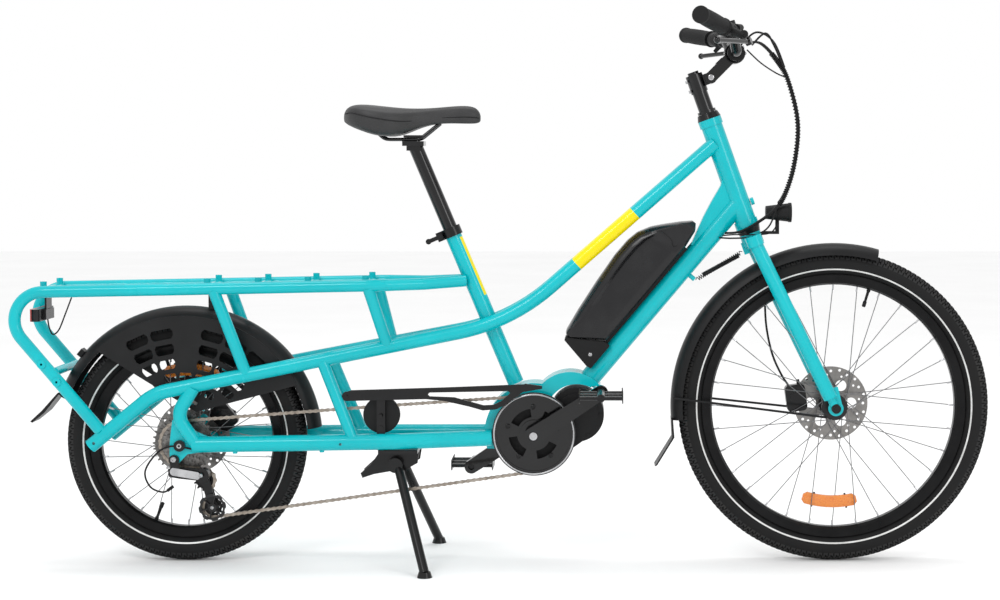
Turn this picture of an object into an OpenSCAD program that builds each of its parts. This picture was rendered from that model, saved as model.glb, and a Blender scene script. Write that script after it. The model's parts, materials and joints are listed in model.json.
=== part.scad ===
// Longtail electric cargo bicycle.
// Units are mm. +X is forward, +Y is the rider's left, +Z is up, Z = 0 is the ground.

/* [Overall] */
// distance between the two wheel axles
wheelbase = 1390; // [1300:10:1700]
// from the rear axle to the back of the deck loops
rear_overhang = 353; // [300:1:420]
// distance between the centres of the two deck rails
deck_width = 172; // [140:2:220]
// handlebar width over the grips
bar_width = 640; // [520:10:780]

/* [Wheels] */
// outer diameter of the front tyre
front_tyre_od = 668; // [600:1:680]
// outer diameter of the rear tyre
rear_tyre_od = 517; // [480:1:530]
// width of both tyres
tyre_width = 54; // [40:1:58]
// spokes in each wheel
spoke_count = 32; // [24:4:36]
// brake disc diameter
rotor_d = 160; // [140:20:180]

/* [Steering] */
// angle of the head tube above the ground
head_angle = 70.3; // [66:0.1:74]
// offset of the front axle ahead of the steering axis
fork_rake = 44; // [30:1:55]
// steerer tube diameter
steerer_d = 28.6; // [25.4:0.1:31.8]
// handlebar diameter at the grips
bar_d = 22.2; // [22.2:0.1:25.4]

/* [Frame] */
// diameter of the twin side tubes
side_tube_d = 30; // [25:0.5:32]
// diameter of the deck rails
rail_d = 25.4; // [22:0.1:32]
// diameter of the lower rails beside the rear wheel
lower_rail_d = 34; // [28:0.5:38]
// diameter of the down tube
down_tube_d = 44; // [36:1:50]
// seat tube outer diameter
seat_tube_d = 34.9; // [31:0.1:38]
// seat post diameter
seatpost_d = 30.9; // [25:0.1:31.6]

/* [Drive] */
// crank arm length
crank_length = 170; // [150:2.5:175]
// teeth on the chainring
ring_teeth = 40; // [34:1:42]
// teeth on the sprocket that the chain rests on
sprocket_teeth = 24; // [24:1:24]
// crank angle above the forward horizontal on the right side
crank_angle = 33; // [0:1:90]

/* [Hidden] */
$fn = 48;
fit = 0.05;
gap = 0.3;
core_len = 1;
elbow_lip = 0.06;
chain_pitch = 12.7;
front_r = front_tyre_od / 2;
rear_r = rear_tyre_od / 2;
rear_x = rear_overhang - (rear_overhang + wheelbase + front_r) / 2;
front_x = rear_x + wheelbase;
rear_axle_pos = [rear_x, 0, rear_r];
front_axle_pos = [front_x, 0, front_r];
deck_y = deck_width / 2;

// frame stations run between the rear axle and the head tube
drawn_base = 1390;
stretch = wheelbase / drawn_base;
function st(a) = rear_x + a * stretch;

// steering axis, local x forward of it and local z along it
head_x = front_x - fork_rake * sin(head_angle);
head_z = front_r - fork_rake * cos(head_angle);
function hp(x, t, y = 0) = [
  head_x + x * sin(head_angle) - t * cos(head_angle),
  y,
  head_z + x * cos(head_angle) + t * sin(head_angle)
];
cup_h = 13;
crown_low = 384;
crown_top = 410;
head_low = crown_top + gap + cup_h;
head_top = 670;
cup_top = head_top + cup_h;
steerer_r = steerer_d / 2;
head_r = 23;
head_bore_r = 18;
blade_y = 62;

// bottom bracket and drive line
bb = [st(748), 0, 280];
motor_front = [bb.x + 91, 0, bb.z + 38];
chain_y = -50;
chain_w = 5.4;
ring_r = chain_pitch * ring_teeth / (2 * PI);
sprocket_r = chain_pitch * sprocket_teeth / (2 * PI);
cog_teeth = [32, 28, 24, 21, 18, 15, 12];
cog_step = 4;
cog_first = chain_y + 2 * cog_step;
idler_teeth = 9;
idler_r = chain_pitch * idler_teeth / (2 * PI);
idler_pos = [st(424), chain_y, 320.5];
jockey_teeth = 11;
jockey_r = chain_pitch * jockey_teeth / (2 * PI);
guide_pos = [rear_x + 46, chain_y, rear_r - 78];
tension_pos = [rear_x + 64, chain_y, rear_r - 135];

// hub widths
front_old = 100;
rear_old = 142;
axle_r = 6;
plate_t = 8;

// seat tube line
seat_low = [st(709), 0, 379];
seat_high = [st(571), 0, 706];
seat_lean = atan2(seat_high.x - seat_low.x, seat_high.z - seat_low.z);
seat_len = norm(seat_high - seat_low);
post_r = seatpost_d / 2;
post_len = 240;
post_insert = 110;

// kickstand
stand_pivot = [st(452), 0, 212];
stand_leg_r = 10;
stand_foot_y = 182;
stand_plate_z = 244.4;

paint = [0, 0.72, 0.75];
black = [0.07, 0.07, 0.08];
steel = [0.6, 0.6, 0.62];

head_tube();
down_tube();
seat_tube();
side_tube_left();
side_tube_right();
deck_rail_left();
deck_rail_right();
lower_rails();
frame_struts();
deck_crossbars();
motor_cradle();
drive_motor();
battery();
battery_mount();
headset_cups();
seat_collar();
quick_release_lever();
rear_fender();
skirt_guards();
tail_light();
chain_guard();
kickstand_bracket();
rear_caliper();
chain();
derailleur_body();
rear_axle();
derailleur_cage();
guide_pulley();
tension_pulley();
idler_pulley();
kickstand_legs();
seatpost();
saddle();
fork();
steerer_riser();
front_axle();
front_fender();
headlight();
front_caliper();
stabiliser_spring();
cable_loom();
stem_arm();
handlebar();
grips();
bar_controls();
brake_lever_left();
brake_lever_right();
front_tyre();
front_rim();
front_hub();
front_spokes();
rear_tyre();
rear_rim();
rear_hub();
rear_spokes();
cassette();
chainring();
crank_arms();
pedal_left();
pedal_right();

// ---------- shared helpers ----------

function unit(v) = v / norm(v);

// round bar between two points
module rod(p, q, r) {
  v = q - p;
  translate(p)
    rotate([0, acos(v.z / norm(v)), atan2(v.y, v.x)])
      cylinder(h = norm(v), r = r);
}

// elbow of a bent tube at point b
module elbow(a, b, c, r, bend_r) {
  u = unit(b - a);
  w = unit(c - b);
  phi = acos(u * w);
  n = unit(w - u * (u * w));
  z = cross(u, n);
  o = b - u * (bend_r * tan(phi / 2)) + n * bend_r;
  multmatrix([[-n.x, u.x, z.x, o.x], [-n.y, u.y, z.y, o.y], [-n.z, u.z, z.z, o.z]])
    rotate_extrude(angle = phi)
      translate([bend_r, 0]) circle(r = r);
}

// tube through a list of points with a bend radius for each inner point
module bent_tube(p, r, bends) {
  n = len(p);
  cut = [for (i = [0 : n - 1]) i == 0 || i == n - 1 ? 0 :
    bends[i - 1] * tan(acos(unit(p[i] - p[i - 1]) * unit(p[i + 1] - p[i])) / 2)];
  lap = [for (i = [0 : n - 1]) i == 0 || i == n - 1 ? 0 : core_len];
  for (i = [0 : n - 2]) {
    u = unit(p[i + 1] - p[i]);
    rod(p[i] + u * (cut[i] - lap[i]), p[i + 1] - u * (cut[i + 1] - lap[i + 1]), r);
  }
  // an elbow is a hair wider, so the straight lengths end inside it
  for (i = [1 : n - 2])
    elbow(p[i - 1], p[i], p[i + 1], r + elbow_lip, bends[i - 1]);
}

// flat piece drawn in the side view, centred on one Y
module side_plate(y, t) {
  translate([0, y, 0]) rotate([90, 0, 0]) linear_extrude(t, center = true) children();
}

// round piece about a Y axis, centred on its point
module pin_y(p, r, w) {
  translate(p) rotate([90, 0, 0]) cylinder(h = w, r = r, center = true);
}

// ring about a Y axis
module ring_y(p, ro, ri, w) {
  translate(p) rotate([90, 0, 0]) difference() {
    cylinder(h = w, r = ro, center = true);
    cylinder(h = w + 2, r = ri, center = true);
  }
}

// places children in the frame of the steering axis
module on_head() {
  translate([head_x, 0, head_z]) rotate([0, head_angle - 90, 0]) children();
}

// places children in the frame of the seat tube, z along it
module on_seat() {
  translate(seat_low) rotate([0, seat_lean, 0]) children();
}

module both_sides() {
  children();
  mirror([0, 1, 0]) children();
}

// slotted box with rounded vertical edges
module round_box(s, r) {
  linear_extrude(s.z, center = true) union() {
    square([s.x - 2 * r, s.y], center = true);
    square([s.x, s.y - 2 * r], center = true);
    for (i = [-1, 1], j = [-1, 1])
      translate([i * (s.x / 2 - r), j * (s.y / 2 - r)]) circle(r = r);
  }
}

// toothed wheel outline
module sprocket_2d(teeth) {
  pr = chain_pitch * teeth / (2 * PI);
  circle(r = pr - 3.6);
  for (i = [0 : teeth - 1])
    rotate(i * 360 / teeth)
      polygon([[pr - 5, -3.2], [pr + 1.6, -1.2], [pr + 1.6, 1.2], [pr - 5, 3.2]]);
}

// thin round cord swept along a list of points
function mix(a, b, t) = a + (b - a) * t;
function spline(p, i, t) =
  let (a = p[max(i - 1, 0)], b = p[i], c = p[i + 1], d = p[min(i + 2, len(p) - 1)])
  0.5 * (2 * b + (c - a) * t + (2 * a - 5 * b + 4 * c - d) * t * t
    + (3 * b - a - 3 * c + d) * t * t * t);
function smooth(p, k) = concat(
  [for (i = [0 : len(p) - 2], j = [0 : k - 1]) spline(p, i, j / k)], [p[len(p) - 1]]);

module cord(p, r, sides, side_ref = [0.3, 1, 0.1]) {
  n = len(p);
  dir = [for (i = [0 : n - 1]) unit(p[min(i + 1, n - 1)] - p[max(i - 1, 0)])];
  pts = [for (i = [0 : n - 1]) let (e = unit(cross(dir[i], side_ref)), f = cross(dir[i], e))
    for (k = [0 : sides - 1]) p[i] + r * (e * cos(360 * k / sides) + f * sin(360 * k / sides))];
  faces = concat(
    [[for (k = [0 : sides - 1]) k]],
    [[for (k = [sides - 1 : -1 : 0]) (n - 1) * sides + k]],
    [for (i = [0 : n - 2], k = [0 : sides - 1], h = [0, 1])
      let (m = (k + 1) % sides, a = i * sides, b = a + sides)
      h == 0 ? [a + k, b + k, b + m] : [a + k, b + m, a + m]]);
  polyhedron(pts, faces, convexity = 6);
}

// ---------- frame ----------

side_back = [st(-187), deck_y, 258];
side_bend = [st(-51), deck_y, 370];
side_waist = [st(697), 28, 516];
side_front = [hp(0, 619).x - 6, 15, hp(0, 619).z - 5];
side_r = side_tube_d / 2;
rail_r = rail_d / 2;
lower_r = lower_rail_d / 2;
lower_front = [bb.x - 92, 46, 270];
lower_mid = [st(456), 74, 266];
lower_back = [rear_x + 28, 82, rear_r + 2.5];
deck_front_z = 598;
deck_back_z = 582;
loop_top = [rear_x - 412, deck_y, deck_back_z];
loop_low = [st(-165), deck_y, 290];
deck_waist = [st(418), deck_y, deck_front_z];
deck_nose = [st(600), 19, deck_front_z + 6];
deck_mid = [st(515), 48, deck_front_z + 1];

// point along the side tube between its rear bend and the waist
function side_at(a) = let (f = (st(a) - side_bend.x) / (side_waist.x - side_bend.x))
  mix(side_bend, side_waist, f);
// point along the deck rail
function deck_at(a) = let (f = (st(a) - loop_top.x) / (deck_waist.x - loop_top.x))
  mix(loop_top, deck_waist, f);
// point along the lower rail
function lower_at(a) = let (f = (st(a) - lower_back.x) / (lower_mid.x - lower_back.x))
  mix(lower_back, lower_mid, f);

module head_tube() {
  color(paint) on_head() difference() {
    union() {
      translate([0, 0, head_low]) cylinder(h = head_top - head_low, r = head_r);
      translate([0, 0, head_low]) cylinder(h = 16, r = head_r + 2.5);
      translate([0, 0, head_top - 16]) cylinder(h = 16, r = head_r + 2.5);
      for (s = [[24, 473, 1], [-24, 606, -1]])
        translate([s[0], 0, s[1]]) rotate([0, 90 * s[2], 0]) cylinder(h = 7, r = 8);
    }
    translate([0, 0, head_low - 1]) cylinder(h = head_top - head_low + 2, r = head_bore_r);
    for (s = [[10, 473, 1], [-10, 606, -1]])
      translate([s[0], 0, s[1]]) rotate([0, 90 * s[2], 0]) cylinder(h = 30, r = 2.6);
  }
}

spring_b = hp(-28.5, 378);
spring_turns = 22;
down_low = [st(860), 0, 385];
down_high = hp(-2, 480);
down_dir = unit(down_high - down_low);
spring_a = down_high - 186.2 * down_dir - (down_tube_d / 2 + 15.7) * [-down_dir.z, 0, down_dir.x];

module down_tube() {
  across = unit([down_high.z - down_low.z, 0, down_low.x - down_high.x]);
  color(paint) difference() {
    union() {
      rod(down_low, down_high, down_tube_d / 2);
      rod(spring_a - across * 22, spring_a - across * 2.8, 5);
      side_plate(0, 28) polygon([
        [hp(-14, 545).x, hp(-14, 545).z],
        [hp(-26, 527).x, hp(-26, 527).z],
        [hp(-58, 500).x, hp(-58, 500).z],
        [hp(-84, 476).x, hp(-84, 476).z],
        [hp(-128, 430).x, hp(-128, 430).z],
        [hp(-110, 420).x, hp(-110, 420).z],
        [hp(-20, 465).x, hp(-20, 465).z]]);
    }
    on_head() translate([0, 0, crown_low])
      cylinder(h = head_top - crown_low, r = head_r - 0.5);
    on_head() translate([0, 0, crown_low - 60])
      cylinder(h = crown_top - crown_low + 60 + cup_h + 1, r = head_r + 9);
  }
}

module seat_tube() {
  color(paint) on_seat() difference() {
    translate([0, 0, 4]) cylinder(h = seat_len - 4, r = seat_tube_d / 2);
    translate([0, 0, 40]) cylinder(h = seat_len, r = post_r + fit);
    translate([-seat_tube_d / 2 - 1, 0, seat_len - 30])
      rotate([0, 90, 0]) cylinder(h = 10, r = 2.5);
    translate([-seat_tube_d, -1, seat_len - 30]) cube([seat_tube_d, 2, 40]);
  }
}

module side_tube() {
  difference() {
    bent_tube([side_back, side_bend, side_waist, side_front], side_r, [110, 420]);
    pin_y([side_back.x + 10, deck_y, side_back.z + 8], 3.2, 60);
    on_head() translate([0, 0, crown_low])
      cylinder(h = head_top, r = head_r - 0.5);
    on_seat() translate([0, 0, 42]) cylinder(h = seat_len, r = post_r + 0.8);
  }
}

module side_tube_left() {
  color(paint) side_tube();
}

module side_tube_right() {
  color(paint) mirror([0, 1, 0]) side_tube();
}

module deck_rail() {
  difference() {
    union() {
      bent_tube([deck_nose, deck_mid, deck_waist, loop_top, loop_low], rail_r,
        [90, 110, 60]);
      for (f = [0.23, 0.55])
        pin_y(mix(loop_top, loop_low, 0.42 + f * 0.4) + [0, rail_r, 0], 9, 5);
    }
    for (f = [0.23, 0.55])
      pin_y(mix(loop_top, loop_low, 0.42 + f * 0.4) + [0, rail_r, 0], 2.6, 24);
    on_seat() translate([0, 0, 42]) cylinder(h = seat_len, r = post_r + 0.8);
  }
}

module deck_rail_left() {
  color(paint) deck_rail();
}

module deck_rail_right() {
  color(paint) mirror([0, 1, 0]) deck_rail();
}

yoke_top = side_at(30) + [0, 4, -4];
yoke_bend = [rear_x - 6, 84, rear_r + 63.5];
yoke_low = [rear_x + 36, 83, rear_r + 3.5];

module dropout_2d() {
  polygon([
    [rear_x + 62, 246], [rear_x + 62, 276], [rear_x + 24, 292], [rear_x - 2, 316],
    [rear_x - 16, 312], [rear_x - 20, 280], [rear_x - 22, rear_r],
    [rear_x - 22, 222], [rear_x - 2, 222], [rear_x + 16, 240]]);
  translate([rear_x, rear_r]) circle(r = 20);
}

module lower_rails() {
  color(paint) both_sides() difference() {
    union() {
      bent_tube([lower_front, lower_mid, lower_back], lower_r, [180]);
      bent_tube([yoke_top, yoke_bend, yoke_low], 14.5, [40]);
      side_plate(rear_old / 2 + plate_t / 2, plate_t) dropout_2d();
      for (a = [117, 300])
        translate(lower_at(a) + [0, 0, -lower_r - 3]) cylinder(h = 8, r = 5);
    }
    translate([lower_mid.x, 56, 200]) cube([1, 1, 1]);
    pin_y([rear_x, 75, rear_r], axle_r + 0.1, 60);
    pin_y([rear_x - 12, 75, rear_r - 28.5], 4, 60);
    pin_y([lower_at(341).x, 74, 263], 3, 80);
  }
}

module frame_struts() {
  color(paint) both_sides() {
    rod(deck_at(75) + [0, 0, -4], side_at(140) + [0, 3, 3], 12.5);
    rod(deck_at(400) + [0, 0, -4], side_at(436) + [0, 3, 4], 12.5);
    rod(side_at(300) + [0, 3, -4], lower_at(366) + [0, 0, 5], 12.5);
  }
}

crossbar_at = [-290, 57, 165, 270, 392];
function crossbar_x(i) = deck_at(crossbar_at[i]).x;
function crossbar_z(i) = deck_at(crossbar_at[i]).z;
rear_fender_r = rear_r + 32.5;
fender_top_z = rear_r + rear_fender_r - 7;

module deck_crossbars() {
  color(paint) {
    for (a = crossbar_at)
      rod([deck_at(a).x, -deck_y + 4, deck_at(a).z], [deck_at(a).x, deck_y - 4, deck_at(a).z], 9);
    rod([st(-262), -deck_y + 3, 415], [st(-262), deck_y - 3, 415], 9);
    both_sides() for (a = crossbar_at)
      translate([deck_at(a).x, deck_y - 24, deck_at(a).z]) difference() {
        cylinder(h = rail_r + 8, r = 7);
        translate([0, 0, 10]) cylinder(h = 30, r = 2.6);
      }
  }
}

cradle_y = 38;
cradle_r = 106;
cradle_front = motor_front + [-14, 0, 8];
cradle_front_r = 84;

module motor_cradle() {
  color(paint) {
    side_plate(0, 2 * cradle_y) difference() {
      union() {
        translate([bb.x, bb.z]) circle(r = cradle_r);
        translate([cradle_front.x, cradle_front.z]) circle(r = cradle_front_r);
      }
      translate([bb.x, bb.z]) circle(r = 84);
      translate([motor_front.x, motor_front.z]) circle(r = 66);
      polygon([[bb.x - 200, bb.z - 34], [bb.x - 60, bb.z - 34], [bb.x, bb.z],
        [motor_front.x, motor_front.z], [motor_front.x + 32, motor_front.z + 62],
        [motor_front.x + 150, motor_front.z + 60], [motor_front.x + 150, bb.z - 200],
        [bb.x - 200, bb.z - 200]]);
    }
    for (y = [-1, 1])
      side_plate(y * (cradle_y - 2), 4) difference() {
        translate([bb.x - 84, bb.z + 8]) circle(r = 12);
        translate([bb.x - 84, bb.z + 8]) circle(r = 4);
      }
  }
}

module drive_motor() {
  color(black) difference() {
    union() {
      pin_y(bb, 78, 64);
      pin_y(motor_front, 58, 68);
      side_plate(0, 60) polygon([
        [bb.x + 10, bb.z + 68], [motor_front.x - 40, motor_front.z + 26],
        [motor_front.x, motor_front.z + 55],
        [motor_front.x + 30, motor_front.z - 45], [bb.x + 30, bb.z - 71]]);
      pin_y(bb, 30, 76);
      pin_y([bb.x - 72, 0, bb.z + 8], 8, 2 * cradle_y - 8 - 2 * gap);
      pin_y(motor_front, 46, 74);
      for (i = [0 : 5])
        pin_y([motor_front.x + 50 * cos(60 * i), 0, motor_front.z + 50 * sin(60 * i)], 3.2, 72);
    }
    pin_y(bb, 10 + fit, 120);
  }
}

batt_a = atan2(down_high.z - down_low.z, down_high.x - down_low.x);
// battery frame: u along the down tube, v above its axis
function bat(u, v) = [down_low.x + u * cos(batt_a) - v * sin(batt_a),
  down_low.z + u * sin(batt_a) + v * cos(batt_a)];
bat_v = down_tube_d / 2 + 5;

module battery() {
  color(black) difference() {
    union() {
      side_plate(0, 78) polygon([bat(98, bat_v), bat(50, 100), bat(56, 106), bat(108, 115),
        bat(180, 124), bat(248, 131), bat(317, 127), bat(366, 94), bat(414, 50),
        bat(410, 39), bat(399, 32), bat(360, bat_v)]);
      side_plate(0, 90) polygon([bat(106, bat_v + 6), bat(64, 96), bat(112, 106),
        bat(182, 115), bat(246, 122), bat(306, 118), bat(352, 88), bat(388, 50),
        bat(352, bat_v + 6)]);
    }
    for (y = [-46, 46])
      side_plate(y, 6) polygon([bat(120, 50), bat(140, 92), bat(240, 96), bat(300, 50)]);
  }
}

module battery_mount() {
  color(black) {
    difference() {
      union() {
        side_plate(0, 36) polygon([bat(60, down_tube_d / 2 - 2), bat(60, bat_v - gap),
          bat(358, bat_v - gap), bat(358, down_tube_d / 2 - 2)]);
        side_plate(0, 66) polygon([bat(30, down_tube_d / 2 - 8), bat(28, 24), bat(40, 96),
          bat(46, 98), bat(93, bat_v - gap), bat(93, down_tube_d / 2 - 8)]);
      }
      rod(down_low, down_high, down_tube_d / 2 + 0.02);
      pin_y(bb, cradle_r + gap, 100);
      pin_y(cradle_front, cradle_front_r + gap, 100);
    }
  }
}

module headset_cups() {
  color(black) on_head() {
    difference() {
      translate([0, 0, crown_top + gap]) cylinder(h = cup_h, r1 = head_r, r2 = head_r + 3);
      translate([0, 0, crown_top]) cylinder(h = cup_h + 2, r = steerer_r + fit);
    }
    difference() {
      translate([0, 0, head_top]) cylinder(h = cup_h, r1 = head_r + 3, r2 = head_r - 1);
      translate([0, 0, head_top - 1]) cylinder(h = cup_h + 2, r = steerer_r + fit);
    }
  }
}

module seat_collar() {
  color(black) on_seat() difference() {
    union() {
      translate([0, 0, seat_len - 8]) cylinder(h = 20, r = seat_tube_d / 2 + 4);
      translate([-seat_tube_d / 2 - 16, -9, seat_len - 8]) cube([18, 18, 20]);
    }
    translate([0, 0, seat_len - 9]) cylinder(h = 9, r = seat_tube_d / 2 + 0.02);
    translate([0, 0, seat_len - 1]) cylinder(h = 20, r = post_r + 0.5);
    translate([-seat_tube_d, -1, seat_len - 10]) cube([seat_tube_d, 2, 30]);
    translate([-seat_tube_d / 2 - 9, -20, seat_len + 2])
      rotate([-90, 0, 0]) cylinder(h = 40, r = 3);
  }
}

module quick_release_lever() {
  color(black) on_seat() translate([-seat_tube_d / 2 - 9, 0, seat_len + 2]) {
    rotate([90, 0, 0]) cylinder(h = 40, r = 2.9, center = true);
    translate([0, -15, 0]) rotate([90, 0, 0]) cylinder(h = 9, r = 7, center = true);
    translate([0, 15, 0]) rotate([90, 0, 0]) cylinder(h = 8, r = 6, center = true);
    translate([-13, -17, 0]) cube([26, 5, 9], center = true);
    translate([-26, -17, 0]) rotate([90, 0, 0]) cylinder(h = 5, r = 6, center = true);
  }
}

// curved mudguard shell about a wheel centre, from one angle to another
module fender_shell(c, ro, depth, a0, a1, half_w) {
  translate(c) rotate([90, 0, 0]) rotate(a0) rotate_extrude(angle = a1 - a0, $fn = 96)
    difference() {
      intersection() {
        translate([ro - half_w, 0]) circle(r = half_w);
        translate([ro - depth, -half_w - 1]) square([depth + 2, 2 * half_w + 2]);
      }
      translate([ro - half_w, 0]) circle(r = half_w - 2.5);
    }
}

flap_x = rear_x - rear_fender_r;

module rear_fender() {
  color(black) {
    fender_shell(rear_axle_pos, rear_fender_r, 26, 6, 160, 36);
    side_plate(0, 58) polygon([[flap_x + 26, rear_r + 107.5], [flap_x + 19, rear_r + 105.5],
      [flap_x - 15, rear_r + 67.5], [flap_x - 40, rear_r + 44.5],
      [flap_x - 36, rear_r + 41.5], [flap_x - 9, rear_r + 63.5]]);
    translate([crossbar_x(1), 0, (fender_top_z + crossbar_z(1) - 9 - gap) / 2])
      cube([16, 24, crossbar_z(1) - 9 - gap - fender_top_z], center = true);
    translate([rear_x + (rear_fender_r + 1) * cos(140), 0, rear_r + (rear_fender_r + 1) * sin(140)])
      rotate([0, -50, 0]) translate([0, 0, 3]) cube([16, 24, 10], center = true);
  }
}

guard_ro = rear_fender_r - 19;
guard_a0 = 27;
guard_a1 = 133;
guard_apex = 72 * [cos(68), sin(68)];
guard_rows = [[236, 11], [203, 11], [171, 10], [142, 9], [116, 8], [92, 7]];
guard_pitch = 13.2;
guard_y = 43;

// corner of the wheel guard, far out along a ray from its lowest point
function guard_far(a) =
  guard_apex + 1.8 * (guard_ro * [cos(a), sin(a)] - guard_apex);

// distance of a point inside the guard's edge towards angle a
function guard_inset(p, a, side) =
  let (d = guard_far(a) - guard_apex, q = p - guard_apex)
  side * (d.x * q.y - d.y * q.x) / norm(d);
function guard_clear(r, h, a, half_a) = min([for (s = [-1, 1], k = [-1, 1])
  let (p = (r + k * h) * [cos(a + s * half_a), sin(a + s * half_a)])
  min(guard_inset(p, guard_a0, 1), guard_inset(p, guard_a1, -1))]);

// eight-sided window of the guard, as wide as its column and as high as its row
module guard_window(r, h, a, half_a) {
  polygon([for (c = [[-1, 0.45], [-0.8, 1], [0.8, 1], [1, 0.45],
      [1, -0.45], [0.8, -1], [-0.8, -1], [-1, -0.45]])
    (r + c[1] * h) * [cos(a + c[0] * half_a), sin(a + c[0] * half_a)]]);
}

module guard_2d() {
  difference() {
    intersection() {
      circle(r = guard_ro);
      polygon([guard_apex, guard_far(guard_a0), [guard_ro * 1.2, guard_ro * 1.5],
        [-guard_ro * 1.2, guard_ro * 1.5], guard_far(guard_a1)]);
    }
    for (i = [0 : len(guard_rows) - 1], j = [0 : 7])
      let (r = guard_rows[i][0], h = guard_rows[i][1], a = 35 + j * guard_pitch,
        half_a = guard_pitch / 2 - 190 / r)
      if (!(j == 4 && i < 3) && guard_clear(r, h, a, half_a) > 3)
        guard_window(r, h, a, half_a);
  }
}

module skirt_guards() {
  color(black) both_sides() {
    side_plate(guard_y, 3) translate([rear_x, rear_r]) guard_2d();
    for (a = [44, 84, 124])
      pin_y([rear_x + (rear_fender_r - 25) * cos(a), 38.5, rear_r + (rear_fender_r - 25) * sin(a)],
        4, 7.6);
  }
}

module tail_light() {
  lx = crossbar_x(0) - 22;
  color([0.5, 0.05, 0.05]) difference() {
    union() {
      translate([lx, 0, 532]) cube([22, 96, 26], center = true);
      for (y = [-48, 48])
        translate([lx, y, 532]) cylinder(h = 26, r = 11, center = true);
      translate([lx + 14, 0, 532]) cube([8, 60, 22], center = true);
      translate([lx + 14, 0, 554.4]) cube([4, 40, 45.1], center = true);
    }
    translate([lx - 13, 0, 532]) cube([6, 84, 16], center = true);
  }
}

guard_bar_y = -70;

module chain_guard() {
  color(black) {
    side_plate(guard_bar_y, 4) difference() {
      union() {
        polygon([[st(350), 352], [st(350), 371], [st(362), 375], [st(560), 381],
          [st(690), 386], [st(738), 388], [st(766), 384], [st(766), 378], [st(725), 371],
          [st(708), 358], [st(690), 345], [st(668), 334], [st(640), 332], [st(612), 340],
          [st(560), 352], [st(520), 356]]);
        translate([st(352), 362]) circle(r = 10);
      }
      polygon([[st(528), 362], [st(524), 366], [st(528), 370], [st(694), 373],
        [st(698), 369], [st(694), 365], [st(680), 352], [st(662), 344], [st(642), 343],
        [st(616), 350], [st(580), 360]]);
      translate([st(352), 362]) circle(r = 3);
    }
    rod([st(352), -68 + 4, 362], [st(352), -76, 362], 2.9);
    side_plate(guard_bar_y, 4) translate([st(731), 384]) circle(r = 5);
    difference() {
      side_plate(guard_bar_y + 4 + gap, 4) polygon([[idler_pos.x - 9, 281.5], [idler_pos.x + 9, 281.5],
        [idler_pos.x + 9, 372], [idler_pos.x - 9, 372]]);
      pin_y(idler_pos + [0, -16, 0], 4, 30);
    }
    pin_y(idler_pos + [0, -11, 0], 3.9, 32);
    pin_y([idler_pos.x, -66, 294], 5, 8);
  }
}

module kickstand_bracket() {
  color(black) difference() {
    union() {
      translate([stand_pivot.x + 8, 0, stand_plate_z]) round_box([84, 164, 8], 8);
      for (y = [-30, 30])
        side_plate(y, 6) polygon([[stand_pivot.x - 34, 240], [stand_pivot.x + 50, 240],
          [stand_pivot.x + 46, 214], [stand_pivot.x + 14, 196], [stand_pivot.x - 14, 196],
          [stand_pivot.x - 48, 190], [stand_pivot.x - 72, 182], [stand_pivot.x - 76, 192],
          [stand_pivot.x - 52, 214]]);
    }
    pin_y(stand_pivot, 6 + fit, 100);
  }
}

module caliper_shape(w) {
  round_box([44, 58, w], 10);
  translate([0, 0, w / 2]) cylinder(h = 2, r = 13);
  translate([10, 26, -w / 4]) rotate([-90, 0, 0]) cylinder(h = 12, r = 3.5);
}

rotor_y_rear = 54;
rotor_y_front = 38;

module rear_caliper() {
  color(black) difference() {
    union() {
      translate([rear_x + 68, 0, rear_r + 44]) translate([0, 54, 0])
        rotate([90, 0, 0]) rotate(40) translate([0, 0, -1]) caliper_shape(16);
      side_plate(rear_old / 2 - 3.5, 6.4) polygon([[rear_x + 50, 276], [rear_x + 84, 276],
        [rear_x + 92, 312], [rear_x + 62, 330]]);
    }
    pin_y(rear_axle_pos + [0, rotor_y_rear, 0], rotor_d / 2 + 3, 3.4);
  }
}

module front_caliper() {
  color(black) difference() {
    union() {
      translate([front_x - 76, rotor_y_front + 1, front_r + 12]) rotate([90, 0, 0])
        rotate(8) caliper_shape(22);
      side_plate(rotor_y_front + 12, 6) polygon([[front_x - 84, front_r + 30],
        [front_x - 44, front_r + 56], [front_x - 34, front_r + 30],
        [front_x - 60, front_r + 4], [front_x - 90, front_r - 6]]);
    }
    pin_y(front_axle_pos + [0, rotor_y_front, 0], rotor_d / 2 + 3, 3.4);
  }
}

// ---------- drive line ----------

// tangent of an open belt from circle a to circle b, on the side given by s
function tan_angle(a, ra, b, rb, s) =
  atan2(b.z - a.z, b.x - a.x) + s * acos((ra - rb) / norm([b.x - a.x, b.z - a.z]));
function on_circle(c, r, a) = [c.x + r * cos(a), c.z + r * sin(a)];

top_a = tan_angle(rear_axle_pos, sprocket_r, idler_pos, idler_r, 1);
top_b = tan_angle(idler_pos, idler_r, bb, ring_r, 1);
low_a = tan_angle(bb, ring_r, tension_pos, jockey_r, 1);
// crossing run between the two pulleys of the derailleur
cross_d = norm([guide_pos.x - tension_pos.x, guide_pos.z - tension_pos.z]);
cross_a = atan2(guide_pos.z - tension_pos.z, guide_pos.x - tension_pos.x)
  + acos(2 * jockey_r / cross_d);
back_d = norm([guide_pos.x - rear_axle_pos.x, guide_pos.z - rear_axle_pos.z]);
back_a = atan2(rear_axle_pos.z - guide_pos.z, rear_axle_pos.x - guide_pos.x)
  - acos((jockey_r + sprocket_r) / back_d);

// ring sector used where the chain wraps a wheel
module wrap_2d(c, r, a0, a1, w) {
  steps = 12;
  polygon(concat(
    [for (i = [0 : steps]) let (a = mix(a0, a1, i / steps)) on_circle(c, r + w, a)],
    [for (i = [steps : -1 : 0]) let (a = mix(a0, a1, i / steps)) on_circle(c, r - w, a)]));
}

module run_2d(p, q, w) {
  u = (q - p) / norm(q - p);
  n = [-u.y, u.x] * w;
  polygon([p + n, q + n, q - n, p - n]);
}

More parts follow.
